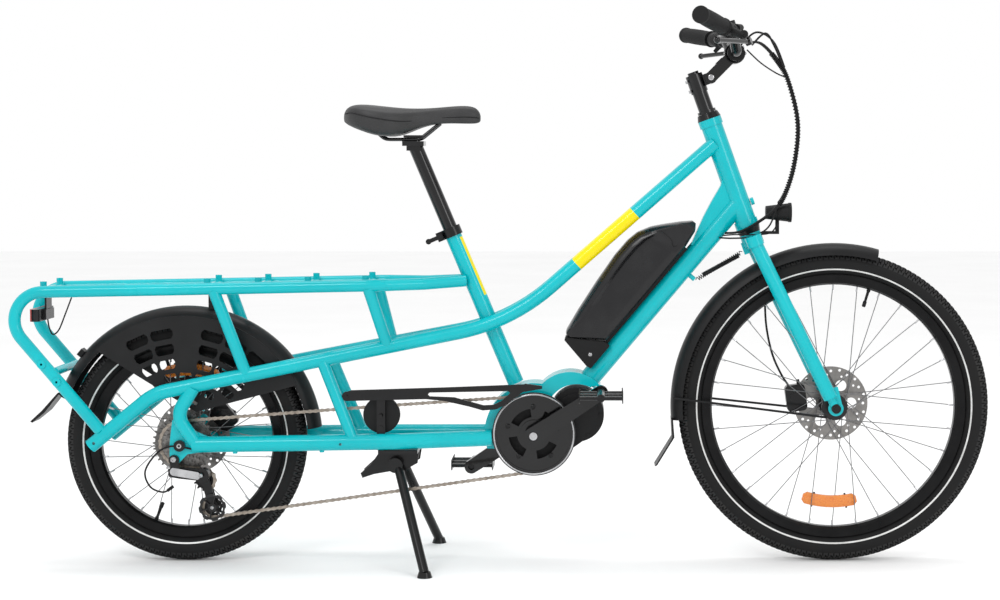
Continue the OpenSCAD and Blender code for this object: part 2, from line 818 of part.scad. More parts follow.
module chain_2d(w) {
  run_2d(on_circle(rear_axle_pos, sprocket_r, top_a), on_circle(idler_pos, idler_r, top_a), w);
  wrap_2d(idler_pos, idler_r, top_b, top_a, w);
  run_2d(on_circle(idler_pos, idler_r, top_b), on_circle(bb, ring_r, top_b), w);
  wrap_2d(bb, ring_r, top_b, low_a, w);
  run_2d(on_circle(bb, ring_r, low_a), on_circle(tension_pos, jockey_r, low_a), w);
  wrap_2d(tension_pos, jockey_r, low_a, cross_a - 360, w);
  run_2d(on_circle(tension_pos, jockey_r, cross_a),
    on_circle(guide_pos, jockey_r, cross_a + 180), w);
  wrap_2d(guide_pos, jockey_r, cross_a - 180, back_a, w);
  run_2d(on_circle(guide_pos, jockey_r, back_a),
    on_circle(rear_axle_pos, sprocket_r, back_a + 180), w);
  wrap_2d(rear_axle_pos, sprocket_r, top_a, back_a + 180, w);
}

module chain() {
  color(steel) for (y = [-1, 1])
    side_plate(chain_y + y * (chain_w / 2 - 0.6), 1.2) chain_2d(3.6);
}

module cassette() {
  color(steel) difference() {
    union() {
      for (i = [0 : len(cog_teeth) - 1])
        translate([rear_x, cog_first - i * cog_step, rear_r]) rotate([90, 0, 0])
          linear_extrude(1.8, center = true) difference() {
            rotate(i * 7) sprocket_2d(cog_teeth[i]);
            if (cog_teeth[i] > 20)
              for (k = [0 : 5]) rotate(60 * k) translate([cog_teeth[i] * 1.3, 0])
                circle(r = cog_teeth[i] * 0.32);
          }
      pin_y([rear_x, cog_first - 12, rear_r], 19, 25.8);
    }
    pin_y([rear_x, cog_first - 12, rear_r], 17, 40);
  }
}

module rear_axle() {
  color(black) {
    pin_y(rear_axle_pos, axle_r, rear_old + 2 * plate_t + 20);
    for (s = [-1, 1]) {
      pin_y([rear_x, s * (rear_old / 2 + plate_t + 4.3), rear_r], 12, 8);
      pin_y([rear_x, s * (rear_old / 2 - 2.3), rear_r], 9, 4);
    }
  }
}

hanger = [rear_x - 12, -rear_old / 2 - 6, rear_r - 28.5];

module derailleur_body() {
  color(black) {
    difference() {
      side_plate(-rear_old / 2 - plate_t - 3.3, 6) union() {
        translate([hanger.x, hanger.z - 2]) circle(r = 11);
        polygon([[hanger.x - 9, hanger.z], [hanger.x + 9, hanger.z],
          [hanger.x + 12, hanger.z - 24], [hanger.x - 6, hanger.z - 30]]);
      }
      pin_y([rear_x, -80, rear_r], 13, 40);
    }
    pin_y([hanger.x, -rear_old / 2 - 4, hanger.z], 3.9, 18);
    side_plate(-76, 7) polygon([[hanger.x - 14, hanger.z - 22],
      [hanger.x + 6, hanger.z - 18], [hanger.x + 52, hanger.z - 22],
      [hanger.x + 66, hanger.z - 30], [hanger.x + 66, hanger.z - 44],
      [hanger.x + 46, hanger.z - 46], [hanger.x + 10, hanger.z - 42],
      [hanger.x - 12, hanger.z - 38]]);
    pin_y([guide_pos.x, -70, guide_pos.z + 14], 15, 22);
  }
}

cage_pivot = [guide_pos.x, -64, guide_pos.z + 14];

module cage_2d() {
  for (p = [guide_pos, tension_pos])
    translate([p.x, p.z]) circle(r = 12);
  run_2d([guide_pos.x, guide_pos.z + 12], [tension_pos.x, tension_pos.z], 9);
}

module derailleur_cage() {
  color(black) {
    for (y = [-1, 1])
      side_plate(chain_y + y * 6.2, 2) cage_2d();
    for (p = [guide_pos, tension_pos])
      pin_y(p, 3, 14);
    pin_y([cage_pivot.x, chain_y - 8, cage_pivot.z], 9, 2);
  }
}

module jockey(p) {
  color(black) translate(p) rotate([90, 0, 0]) linear_extrude(2.2, center = true)
    difference() {
      sprocket_2d(jockey_teeth);
      circle(r = 3 + fit);
      for (k = [0 : 4]) rotate(72 * k) translate([10.5, 0]) circle(r = 3.4);
    }
}

module guide_pulley() {
  jockey(guide_pos);
}

module tension_pulley() {
  jockey(tension_pos);
}

module idler_pulley() {
  color(black) difference() {
    union() {
      translate(idler_pos) rotate([90, 0, 0])
        linear_extrude(2.2, center = true) sprocket_2d(idler_teeth);
      for (s = [-1, 1])
        pin_y(idler_pos + [0, s * 4.6, 0], 39, 2.4);
      pin_y(idler_pos, 10, 10);
    }
    pin_y(idler_pos, 3.9 + fit, 30);
  }
}

guard_ring_r = ring_r + 8;

module chainring() {
  color(black) difference() {
    union() {
      translate([bb.x, chain_y, bb.z]) rotate([90, 0, 0])
        linear_extrude(2.2, center = true) sprocket_2d(ring_teeth);
      ring_y([bb.x, chain_y - 7, bb.z], guard_ring_r, guard_ring_r - 10, 5);
      pin_y([bb.x, chain_y - 5, bb.z], guard_ring_r - 6, 3);
      ring_y([bb.x, chain_y - 3, bb.z], ring_r - 8, ring_r - 22, 5);
      pin_y([bb.x, chain_y - 9, bb.z], 30, 8);
      for (k = [0 : 4])
        pin_y([bb.x + 58 * cos(72 * k + 20), chain_y - 7, bb.z + 58 * sin(72 * k + 20)], 5, 4);
    }
    translate([bb.x, chain_y, bb.z]) rotate([90, 0, 0])
      for (k = [0 : 3]) rotate(90 * k + 8) rotate_extrude(angle = 56)
        translate([36, -12]) square([18, 30]);
    pin_y(bb, 10 + fit, 200);
  }
}

crank_y = 88;
arm_t = 13;
spindle_end = crank_y + arm_t / 2 - 2;
crank_u = [cos(crank_angle), 0, sin(crank_angle)];
pedal_near = bb + crank_length * crank_u - [0, crank_y, 0];
pedal_far = bb - crank_length * crank_u + [0, crank_y, 0];

module crank_arm_2d() {
  circle(r = 19);
  translate([crank_length, 0]) circle(r = 15);
  polygon([[4, 18.6], [crank_length, 15], [crank_length, -15], [4, -18.6]]);
}

module crank_arms() {
  color(black) {
    for (s = [-1, 1]) difference() {
      union() {
        side_plate(s * crank_y, arm_t) translate([bb.x, bb.z])
          rotate(s < 0 ? crank_angle : crank_angle + 180) crank_arm_2d();
        pin_y([bb.x, s * (crank_y - 12), bb.z], 17, 14);
      }
      pin_y(s < 0 ? pedal_near : pedal_far, 7 + fit, 40);
      pin_y([bb.x, s * (crank_y + arm_t / 2), bb.z], 11, 3);
    }
    pin_y(bb, 10, 2 * spindle_end - 10);
    pin_y([bb.x, -spindle_end + 3.4, bb.z], 8, 4);
    pin_y([bb.x, spindle_end - 3.4, bb.z], 8, 4);
  }
}

pedal_w = 96;

module pedal(s) {
  y0 = crank_y + arm_t / 2 + 4;
  color(black) {
    translate([0, s * (y0 + pedal_w / 2), 0]) difference() {
      cube([92, pedal_w, 20], center = true);
      for (i = [-1, 1]) translate([i * 26, 0, 0]) cube([28, pedal_w - 24, 40], center = true);
    }
    for (i = [-40, -14, 14, 40], j = [10, pedal_w - 10])
      translate([i, s * (y0 + j), 0]) cylinder(h = 26, r = 2.5, center = true);
    rotate([90, 0, 0]) translate([0, 0, -s * (y0 + 10)])
      cylinder(h = 26, r = 9, center = true);
    rotate([90, 0, 0]) translate([0, 0, -s * (crank_y + 5)])
      cylinder(h = 30, r = 7, center = true);
  }
}

module pedal_right() {
  translate([pedal_near.x, 0, pedal_near.z]) rotate([0, -6, 0]) pedal(-1);
}

module pedal_left() {
  translate([pedal_far.x, 0, pedal_far.z]) rotate([0, 10, 0]) pedal(1);
}

// ---------- kickstand ----------

stand_foot = [stand_pivot.x + 74, stand_foot_y, 6];

module kickstand_legs() {
  color(black) {
    pin_y(stand_pivot, 6, 110);
    both_sides() {
      pin_y(stand_pivot + [0, 45, 0], 16, 20);
      difference() {
        rod(stand_pivot + [6, 44, -4], stand_foot + [0, 0, 2], stand_leg_r);
        translate([stand_foot.x, stand_foot.y, -20]) cube([120, 120, 40], center = true);
      }
      translate([stand_foot.x, stand_foot.y, 0]) cylinder(h = 12, r1 = 16, r2 = 12);
    }
  }
}

// ---------- seat ----------

post_low = seat_len - post_insert;
clamp_x = st(490);
rail_z = 906;
rail_wire = 3.6;

module seatpost() {
  color(black) on_seat() {
    translate([0, 0, post_low]) cylinder(h = post_len + 68, r = post_r);
  }
  color(black) translate([clamp_x, 0, 0]) {
    translate([0, 0, rail_z - rail_wire - gap - 5]) cube([46, 54, 10], center = true);
    translate([0, 0, rail_z + rail_wire + gap + 2.5]) cube([40, 54, 5], center = true);
    translate([0, 0, rail_z]) cube([16, 30, 10], center = true);
    translate([0, 0, rail_z - 14]) cube([30, 30, 20], center = true);
  }
  color(steel) both_sides() translate([0, 22, 0])
    bent_tube([[st(400), 0, 932], [st(430), 0, rail_z], [st(504), 0, rail_z],
      [st(546), -6, 940]], rail_wire, [22, 26]);
}

module saddle() {
  sx = st(486);
  color(black) {
    side_plate(0, 62) polygon([[sx - 143, 936], [sx - 146, 958], [sx - 140, 976],
      [sx - 120, 982], [sx - 60, 976], [sx, 972], [sx + 60, 976], [sx + 110, 981],
      [sx + 138, 974], [sx + 148, 958], [sx + 138, 944], [sx + 60, 944], [sx - 30, 936]]);
    translate([sx - 72, 0, 952]) scale([1, 1.2, 0.34]) sphere(r = 72);
  }
}

// ---------- steering ----------

module fork() {
  color(paint) difference() {
    union() {
      on_head() {
        translate([0, 0, crown_low]) cylinder(h = crown_top - crown_low, r = head_r);
        translate([-17, -blade_y, crown_low]) cube([34, 2 * blade_y, 22]);
        both_sides() {
          translate([0, blade_y, crown_low]) cylinder(h = 22, r = 18);
          rod([0, blade_y, crown_low + 4], [fork_rake - 4, blade_y, 26], 15);
        }
        translate([-26, -6, crown_low - 14]) cube([12, 12, 26]);
      }
      both_sides() {
        pin_y([front_x, front_old / 2 + plate_t / 2, front_r], 16, plate_t);
        rod(hp(fork_rake - 4, 30, blade_y - 2), hp(fork_rake, 2, front_old / 2 + 8), 9);
        side_plate(front_old / 2 + plate_t / 2, plate_t)
          polygon([[front_x - 14, front_r + 10], [front_x + 14, front_r + 4],
            [front_x + 4, front_r + 46], [front_x - 24, front_r + 42]]);
      }
    }
    pin_y(front_axle_pos, axle_r + 0.1, 200);
    both_sides() pin_y([front_x, 0, front_r], 40, front_old);
    both_sides() pin_y([front_x, front_old / 2 + plate_t + 10, front_r], 11, 20);
    on_head() translate([0, 0, crown_low - 2])
      cylinder(h = 60, r = steerer_r + 0.02);
  }
}

riser_top = 770;
pivot_x = 32;
pivot_t = 752;

module steerer_riser() {
  color(black) on_head() difference() {
    union() {
      translate([0, 0, crown_low]) cylinder(h = riser_top - crown_low, r = steerer_r);
      translate([0, 0, cup_top + gap]) cylinder(h = 6, r = head_r - 3);
      translate([0, 0, cup_top + gap]) cylinder(h = riser_top - cup_top, r = steerer_r + 2);
      translate([0, 0, riser_top - 40]) cylinder(h = 40, r = 18.5);
      translate([0, 0, riser_top]) cylinder(h = 6, r = 12);
      translate([0, -9, pivot_t - 12]) cube([pivot_x, 18, 24]);
      translate([pivot_x, 0, pivot_t]) rotate([90, 0, 0])
        cylinder(h = 18, r = 13, center = true);
    }
    translate([0, 0, crown_low - 1]) cylinder(h = riser_top - crown_low - 20, r = steerer_r - 3);
    translate([pivot_x, 0, pivot_t]) rotate([90, 0, 0])
      cylinder(h = 40, r = 4 + fit, center = true);
    translate([-30, -1, riser_top - 40]) cube([20, 2, 60]);
  }
}

bar_x = 97;
bar_t = 783;

module stem_arm() {
  color(black) on_head() difference() {
    union() {
      for (s = [-1, 1]) translate([0, s * (9 + gap + 5), 0]) {
        rotate([90, 0, 0]) linear_extrude(10, center = true) union() {
          translate([pivot_x, pivot_t]) circle(r = 13);
          run_2d([pivot_x, pivot_t], [bar_x, bar_t], 12.5);
        }
      }
      translate([bar_x - 36, -19, bar_t - 28]) rotate([0, -24, 0]) cube([18, 38, 24]);
      translate([bar_x, 0, bar_t]) rotate([90, 0, 0]) cylinder(h = 44, r = 22, center = true);
      translate([pivot_x, 0, pivot_t]) rotate([90, 0, 0])
        cylinder(h = 44, r = 4, center = true);
      for (s = [-1, 1]) translate([pivot_x, s * 21, pivot_t]) rotate([90, 0, 0])
        cylinder(h = 4, r = 8, center = true);
    }
    translate([bar_x, 0, bar_t]) rotate([90, 0, 0])
      cylinder(h = 60, r = bar_d / 2 + 4.85, center = true);
    translate([bar_x + 8, -12, bar_t - 1]) cube([30, 24, 2]);
    translate([bar_x + 8, -30, bar_t - 1]) cube([30, 60, 2]);
  }
}

grip_len = 130;
bar_half = bar_width / 2;
grip_out = [33, bar_half, 870];
grip_dir = unit([33 - 82, 130, 870 - 833]);
grip_in = grip_out - grip_len * grip_dir;
bar_rise = [99, 118, 822];

module handlebar() {
  color(black) on_head() {
    rotate([90, 0, 0]) translate([bar_x, bar_t, 0])
      cylinder(h = 88, r = bar_d / 2 + 4.8, center = true);
    both_sides()
      bent_tube([[bar_x, 0, bar_t], [bar_x, 72, bar_t], bar_rise, grip_in - 20 * grip_dir,
        grip_out - 4.3 * grip_dir], bar_d / 2, [34, 30, 40]);
  }
}

module grips() {
  color(black) on_head() both_sides() difference() {
    union() {
      rod(grip_in, grip_out, 16.5);
      rod(grip_in, grip_in + 7 * grip_dir, 19);
      rod(grip_out - 6 * grip_dir, grip_out, 18);
    }
    rod(grip_in - 2 * grip_dir, grip_out - 4 * grip_dir, bar_d / 2 + 0.02);
  }
}

perch = grip_in - 16 * grip_dir;
lever_pivot = perch + [34, 4, -32];

module bar_controls() {
  color(black) on_head() {
    both_sides() difference() {
      union() {
        rod(perch - 7 * grip_dir, perch + 7 * grip_dir, 16);
        rod(perch + [8, 0, -8], lever_pivot + [-6, 0, 6], 8);
        rod(lever_pivot + [-4, -26, 8], lever_pivot + [-4, 5, 8], 8.5);
      }
      rod(perch - 30 * grip_dir, perch + 30 * grip_dir, bar_d / 2 + 0.02);
    }
    // display and bell
    translate([bar_x, -52, bar_t]) rotate([90, 0, 0]) difference() {
      union() {
        cylinder(h = 10, r = 18, center = true);
        translate([-6, 10, -5]) cube([12, 44, 12]);
        translate([0, 60, 0]) rotate([90, 0, 0]) cylinder(h = 12, r = 20, center = true);
      }
      translate([0, 0, 0]) cylinder(h = 20, r = bar_d / 2 + 0.02, center = true);
    }
  }
}

lever_drop = 9.2;
lever_axis = unit(cross(grip_dir, [0, 0, 1]));
lever_tip = grip_out + [16, -18, -58];

module brake_lever() {
  rod(lever_pivot - [0, 0, lever_drop] - 6 * lever_axis, lever_pivot - [0, 0, lever_drop] + 6 * lever_axis, 8);
  rod(lever_pivot - [0, 0, lever_drop], lever_tip, 5);
  translate(lever_tip) sphere(r = 7);
}

module brake_lever_left() {
  color(black) on_head() brake_lever();
}

module brake_lever_right() {
  color(black) on_head() mirror([0, 1, 0]) brake_lever();
}

module front_axle() {
  color(black) {
    pin_y(front_axle_pos, axle_r, front_old + 2 * plate_t + 16);
    for (s = [-1, 1]) {
      pin_y([front_x, s * (front_old / 2 + plate_t + 3.3), front_r], 10, 6);
      pin_y([front_x, s * (front_old / 2 - 2.3), front_r], 9, 4);
    }
  }
}

front_fender_r = front_r + 16;

module front_fender() {
  color(black) {
    fender_shell(front_axle_pos, front_fender_r, 25, 74, 185, 36);
    side_plate(0, 56) polygon([
      [front_x - front_fender_r + 1, front_r - 26], [front_x - front_fender_r + 5, front_r - 28],
      [front_x - front_fender_r + 8, front_r - 66], [front_x - front_fender_r - 29, front_r - 126],
      [front_x - front_fender_r - 34, front_r - 128], [front_x - front_fender_r + 3, front_r - 68]]);
    on_head() translate([-8, -12, 351 - fork_rake * 0.1]) cube([16, 24, crown_low - 351.3 + 4]);
    both_sides() rod([front_x - front_fender_r + 4, 35, front_r + 20],
      [front_x - 20, front_old / 2 + plate_t + 6, front_r - 18], 2.5);
  }
}

module headlight() {
  color(black) translate(hp(70, 432)) {
    rotate([0, 90, 0]) cylinder(h = 50, r1 = 14, r2 = 20, center = true);
    translate([27, 0, 0]) rotate([0, 90, 0]) cylinder(h = 6, r = 21, center = true);
    translate([-4, -3, -42]) cube([8, 6, 27]);
    translate([-32.6, -10, -46]) cube([36, 20, 6]);
  }
}

module stabiliser_spring() {
  u = unit(spring_b - spring_a);
  n = [-u.z, 0, u.x];
  len = norm(spring_b - spring_a) - 12;
  steps = spring_turns * 10;
  color(black) cord(concat([spring_a + 0.8 * u], [for (i = [0 : steps])
    spring_a + u * (6 + len * i / steps)
    + 4.4 * (n * cos(360 * i / 10) + [0, 1, 0] * sin(360 * i / 10))], [spring_b]), 0.9, 5, u);
}

module cable_loom() {
  main = [hp(120, 794, -82), hp(152, 784, -50), hp(176, 740, -16), hp(186, 690, 0),
    hp(176, 600, 0), hp(140, 520, -4), hp(96, 462, -14), hp(60, 440, -30),
    hp(20, 428, -36), hp(-20, 422, -32), hp(-50, 428.6, -20)];
  color(black) {
    cord(smooth(main, 5), 6, 10, [0.1, 1, 0.05]);
  }
}

// ---------- wheels ----------

rim_front_r = 286;
rim_rear_r = 209.5;

module tyre(c, ro, rim_r) {
  w = tyre_width / 2;
  translate(c) rotate([90, 0, 0]) rotate_extrude($fn = 120) difference() {
    union() {
      translate([ro - w, 0]) circle(r = w);
      translate([rim_r - 8, -15]) square([ro - w - rim_r + 8, 30]);
    }
    translate([ro - w, 0]) circle(r = w - 4);
    translate([rim_r - 10, -11]) square([ro - w - rim_r + 10, 22]);
  }
}

module rim(c, rim_r) {
  translate(c) rotate([90, 0, 0]) rotate_extrude($fn = 120) difference() {
    translate([rim_r - 25, 0]) polygon([[0, -8], [4, -15], [21, -17.5], [21, 17.5], [4, 15],
      [0, 8]]);
    translate([rim_r - 8 - gap, -15.2]) square([20, 30.4]);
  }
}

module front_tyre() {
  color(black) tyre(front_axle_pos, front_r, rim_front_r);
}

module rear_tyre() {
  color(black) tyre(rear_axle_pos, rear_r, rim_rear_r);
}

module front_rim() {
  color(black) rim(front_axle_pos, rim_front_r);
}

module rear_rim() {
  color(black) rim(rear_axle_pos, rim_rear_r);
}

module rotor_2d(r_in) {
  difference() {
    circle(r = rotor_d / 2);
    circle(r = r_in);
    for (k = [0 : 5]) rotate(60 * k) translate([44, 0]) circle(r = 12);
    for (k = [0 : 23]) rotate(15 * k) translate([70 + 4 * (k % 2), 0]) circle(r = 3);
    for (k = [0 : 11]) rotate(30 * k + 8) translate([62, 0]) circle(r = 2.5);
  }
}

module hub(c, flange_l, flange_r, flange_rad, half, rotor_y, body_r) {
  translate(c) rotate([90, 0, 0]) difference() {
    union() {
      cylinder(h = 2 * half, r = 11, center = true);
      translate([0, 0, -(flange_l + flange_r) / 2])
        cylinder(h = flange_l - flange_r, r = body_r, center = true);
      for (f = [flange_l, flange_r]) translate([0, 0, -f])
        cylinder(h = 4, r = flange_rad, center = true);
      translate([0, 0, -rotor_y + 4]) cylinder(h = 6.2, r = 22, center = true);
      translate([0, 0, -rotor_y]) linear_extrude(1.8, center = true) rotor_2d(12);
    }
    cylinder(h = 200, r = axle_r + fit, center = true);
  }
}

module front_hub() {
  color(black) hub(front_axle_pos, 26, -32, 28, front_old / 2 - 4.4, rotor_y_front, 16);
}

module rear_hub() {
  color(black) {
    hub(rear_axle_pos, 34, -30, 30, rear_old / 2 - 4.4, rotor_y_rear, 17);
    difference() {
      pin_y([rear_x, cog_first - 12, rear_r], 17 - fit, 24.6);
      pin_y([rear_x, cog_first - 12, rear_r], axle_r + fit, 40);
    }
  }
}

// laced spokes, crossing in pairs on each flange
module spokes(c, flange_l, flange_r, flange_rad, rim_in) {
  translate(c) rotate([90, 0, 0]) for (i = [0 : spoke_count - 1]) {
    left = i % 2;
    pull = floor(i / 2) % 2 == 0 ? 1 : -1;
    a = i * 360 / spoke_count;
    f = left == 0 ? flange_l : flange_r;
    off = 3.4 * pull;
    rod([(flange_rad - 1) * cos(a + pull * 66), (flange_rad - 1) * sin(a + pull * 66), -f + off],
      [rim_in * cos(a), rim_in * sin(a), -(left == 0 ? 4 : -4)], 0.9);
  }
}

module front_spokes() {
  color(steel) spokes(front_axle_pos, 26, -32, 28, rim_front_r - 25 - gap);
}

module rear_spokes() {
  color(steel) spokes(rear_axle_pos, 34, -30, 30, rim_rear_r - 25 - gap);
}
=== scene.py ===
import json
import math
import random

import bmesh
import bpy
from mathutils import Matrix, Vector


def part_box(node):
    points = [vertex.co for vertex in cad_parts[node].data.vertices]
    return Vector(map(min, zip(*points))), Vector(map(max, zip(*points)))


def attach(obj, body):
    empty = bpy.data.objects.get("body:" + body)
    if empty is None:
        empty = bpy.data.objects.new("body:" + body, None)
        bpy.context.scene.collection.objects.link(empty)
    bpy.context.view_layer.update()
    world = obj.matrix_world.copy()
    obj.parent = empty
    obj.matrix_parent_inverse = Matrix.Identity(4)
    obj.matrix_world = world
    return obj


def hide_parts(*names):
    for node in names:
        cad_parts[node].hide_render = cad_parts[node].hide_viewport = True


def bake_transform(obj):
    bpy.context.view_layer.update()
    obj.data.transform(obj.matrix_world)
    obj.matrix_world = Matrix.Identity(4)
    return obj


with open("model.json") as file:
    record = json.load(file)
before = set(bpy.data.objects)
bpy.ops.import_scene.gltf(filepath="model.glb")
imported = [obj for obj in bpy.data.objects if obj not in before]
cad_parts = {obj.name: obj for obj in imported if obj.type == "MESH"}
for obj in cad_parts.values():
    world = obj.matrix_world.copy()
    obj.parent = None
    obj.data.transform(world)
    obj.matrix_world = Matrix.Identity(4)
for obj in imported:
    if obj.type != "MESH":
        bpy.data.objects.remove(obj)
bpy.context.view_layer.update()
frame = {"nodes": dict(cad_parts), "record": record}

NODES = frame["nodes"]
TAU = 2 * math.pi
MM = 0.001
random.seed(7)


def mm(*p):
    """A point or size given in millimetres, in metres."""
    return Vector(p) * MM


def centre(node):
    """The middle of a node's box."""
    lo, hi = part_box(node)
    return (Vector(lo) + Vector(hi)) / 2


def half(node):
    """Half the size of a node's box."""
    lo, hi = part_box(node)
    return (Vector(hi) - Vector(lo)) / 2


# ---------- camera ----------

LENS = 69.3
CAMERA_AT = mm(203, -4131, 862)
PITCH = math.radians(2.1)
cam_data = bpy.data.cameras.new("camera")
cam = bpy.data.objects.new("camera", cam_data)
bpy.context.scene.collection.objects.link(cam)
cam_data.lens = LENS
cam_data.sensor_width = 36
cam_data.shift_x = -0.1
cam_data.shift_y = -0.0694
cam.location = CAMERA_AT
cam.rotation_euler = (math.pi / 2 - PITCH, 0, 0)
bpy.context.scene.camera = cam

# ---------- shared points of the model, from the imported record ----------

RECORD = frame["record"]
JOINTS = {j["name"]: j for j in RECORD["behaviour"]["joints"]}
FRONT_AXLE = Vector(JOINTS["front_wheel"]["pos_m"])
REAR_AXLE = Vector(JOINTS["rear_wheel"]["pos_m"])
BB = Vector(JOINTS["crank"]["pos_m"])
IDLER = Vector(JOINTS["idler"]["pos_m"])
GUIDE = Vector(JOINTS["guide_pulley"]["pos_m"])
TENSION = Vector(JOINTS["tension_pulley"]["pos_m"])
STEER_AXIS = Vector(JOINTS["steering"]["axis"]).normalized()
STEER_POS = Vector(JOINTS["steering"]["pos_m"])
FRONT_R = half("front_tyre").x
REAR_R = half("rear_tyre").x
HEAD_X = Vector((STEER_AXIS.z, 0, -STEER_AXIS.x))
HEAD_ZERO = STEER_POS - STEER_AXIS * 0.540


def hp(x, t, y=0):
    """A point from steering-axis millimetres: forward of the axis, along it, and across."""
    return HEAD_ZERO + HEAD_X * x * MM + STEER_AXIS * t * MM + Vector((0, y * MM, 0))


# ---------- materials ----------


class Nodes:
    """Small helper that builds one node material."""

    def __init__(self, name):
        self.mat = bpy.data.materials.new(name)
        self.mat.use_nodes = True
        self.tree = self.mat.node_tree
        self.bsdf = self.tree.nodes["Principled BSDF"]
        self.coord = self.add("ShaderNodeTexCoord").outputs["Object"]

    def add(self, kind, **values):
        """Adds a node; each value is a setting of it or one of its inputs."""
        n = self.tree.nodes.new(kind)
        for key, value in values.items():
            if hasattr(n, key):
                setattr(n, key, value)
            else:
                n.inputs[key.replace("_", " ")].default_value = value
        return n

    def link(self, a, b):
        """Joins an output to an input."""
        self.tree.links.new(a, b)

    def noise(self, scale, detail=4.0, rough=0.55, stretch=None):
        """Noise over the object coordinates, stretched by axis if asked."""
        n = self.add("ShaderNodeTexNoise")
        n.inputs["Scale"].default_value = scale
        n.inputs["Detail"].default_value = detail
        n.inputs["Roughness"].default_value = rough
        src = self.coord
        if stretch:
            m = self.add("ShaderNodeMapping")
            m.inputs["Scale"].default_value = stretch
            self.link(src, m.inputs["Vector"])
            src = m.outputs["Vector"]
        self.link(src, n.inputs["Vector"])
        return n.outputs["Fac"]

    def voronoi(self, scale):
        """Distance to the nearest of scattered cells."""
        n = self.add("ShaderNodeTexVoronoi")
        n.inputs["Scale"].default_value = scale
        self.link(self.coord, n.inputs["Vector"])
        return n.outputs["Distance"]

    def ramp(self, fac, stops):
        """Colours a factor by (position, colour) stops."""
        n = self.add("ShaderNodeValToRGB")
        while len(n.color_ramp.elements) < len(stops):
            n.color_ramp.elements.new(0.5)
        for e, (pos, col) in zip(n.color_ramp.elements, stops):
            e.position = pos
            e.color = (*col, 1) if len(col) == 3 else col
        self.link(fac, n.inputs["Fac"])
        return n.outputs["Color"]

    def span(self, fac, lo, hi, to_lo, to_hi):
        """Maps one range of numbers onto another."""
        n = self.add("ShaderNodeMapRange")
        for key, value in zip(("From Min", "From Max", "To Min", "To Max"),
                              (lo, hi, to_lo, to_hi)):
            n.inputs[key].default_value = value
        self.link(fac, n.inputs["Value"])
        return n.outputs["Result"]

    def math(self, op, a, b=None):
        """One arithmetic step on sockets or numbers."""
        n = self.add("ShaderNodeMath", operation=op)
        for i, v in enumerate((a, b)):
            if v is None:
                continue
            if isinstance(v, (int, float)):
                n.inputs[i].default_value = v
            else:
                self.link(v, n.inputs[i])
        return n.outputs[0]

    def mix(self, fac, a, b):
        """Mixes two colours, each a socket or a tuple."""
        n = self.add("ShaderNodeMix", data_type="RGBA")
        self.link(fac, n.inputs["Factor"])
        for key, v in (("A", a), ("B", b)):
            sock = [s for s in n.inputs if s.name == key and s.type == "RGBA"][0]
            if isinstance(v, tuple):
                sock.default_value = (*v, 1)
            else:
                self.link(v, sock)
        return [s for s in n.outputs if s.type == "RGBA"][0]

    def bump(self, height, strength, distance):
        """Roughens the surface by a height."""
        n = self.add("ShaderNodeBump")
        n.inputs["Strength"].default_value = strength
        n.inputs["Distance"].default_value = distance
        self.link(height, n.inputs["Height"])
        self.link(n.outputs["Normal"], self.bsdf.inputs["Normal"])

    def set(self, **values):
        """Sets or links inputs of the surface shader."""
        for key, value in values.items():
            sock = self.bsdf.inputs[key.replace("_", " ")]
            if isinstance(value, (int, float)):
                sock.default_value = value
            elif isinstance(value, tuple):
                sock.default_value = (*value, 1) if len(value) == 3 else value
            else:
                self.link(value, sock)
        return self


def surface(name, base, low, high, metallic=0.0, rough=(0.35, 0.5), grain=900.0,
            bump=0.15, depth=0.0001, coat=0.0, patch=14.0, specular=0.22, stretch=None):
    """A worn, grained surface: patchy colour, patchy roughness and a fine bump."""
    n = Nodes(name)
    big = n.noise(patch, 5.0)
    fine = n.noise(grain, 3.0, stretch=stretch)
    n.set(Base_Color=n.ramp(big, [(0.3, low), (0.5, base), (0.72, high)]),
          Roughness=n.span(big, 0.3, 0.7, rough[0], rough[1]),
          Metallic=metallic, Coat_Weight=coat, Coat_Roughness=0.08)
    n.bsdf.inputs["Specular IOR Level"].default_value = specular
    n.bump(fine, bump, depth)
    return n.mat


TEAL = (0.0, 0.43, 0.475)
TEAL_LOW = (0.0, 0.40, 0.445)
TEAL_HIGH = (0.0, 0.455, 0.50)
YELLOW = (0.80, 0.66, 0.0)


def teal_paint(name, mask=None):
    """Gloss frame paint. mask(n) returns a socket that is 1 where the yellow band is."""
    n = Nodes(name)
    big = n.noise(9.0, 4.0)
    paint = n.ramp(big, [(0.3, TEAL_LOW), (0.5, TEAL), (0.7, TEAL_HIGH)])
    if mask:
        paint = n.mix(mask(n), paint, YELLOW)
    n.set(Base_Color=paint, Roughness=n.span(big, 0.3, 0.7, 0.2, 0.3),
          Coat_Weight=0.25, Coat_Roughness=0.04)
    n.bsdf.inputs["Specular IOR Level"].default_value = 0.2
    n.bump(n.noise(420.0, 2.0), 0.03, 0.0001)
    return n.mat


def axis_value(n, x, z, shift):
    """x*X + z*Z - shift of the object coordinates."""
    sep = n.add("ShaderNodeSeparateXYZ")
    n.link(n.coord, sep.inputs[0])
    a = n.math("MULTIPLY", sep.outputs["X"], x)
    b = n.math("MULTIPLY", sep.outputs["Z"], z)
    return n.math("SUBTRACT", n.math("ADD", a, b), shift)


def across_value(n):
    """The Y of the object coordinates."""
    sep = n.add("ShaderNodeSeparateXYZ")
    n.link(n.coord, sep.inputs[0])
    return sep.outputs["Y"]


def between(n, value, lo, hi):
    """1 where the value lies between the two ends."""
    return n.math("MULTIPLY", n.math("GREATER_THAN", value, lo),
                  n.math("LESS_THAN", value, hi))


BAND = (0.547, 0.712)
BAND_SLOPE = (0.734, 0.679)


def band_mask(n):
    """The yellow band across both side tubes."""
    return between(n, axis_value(n, *BAND_SLOPE, 0.0), *BAND)


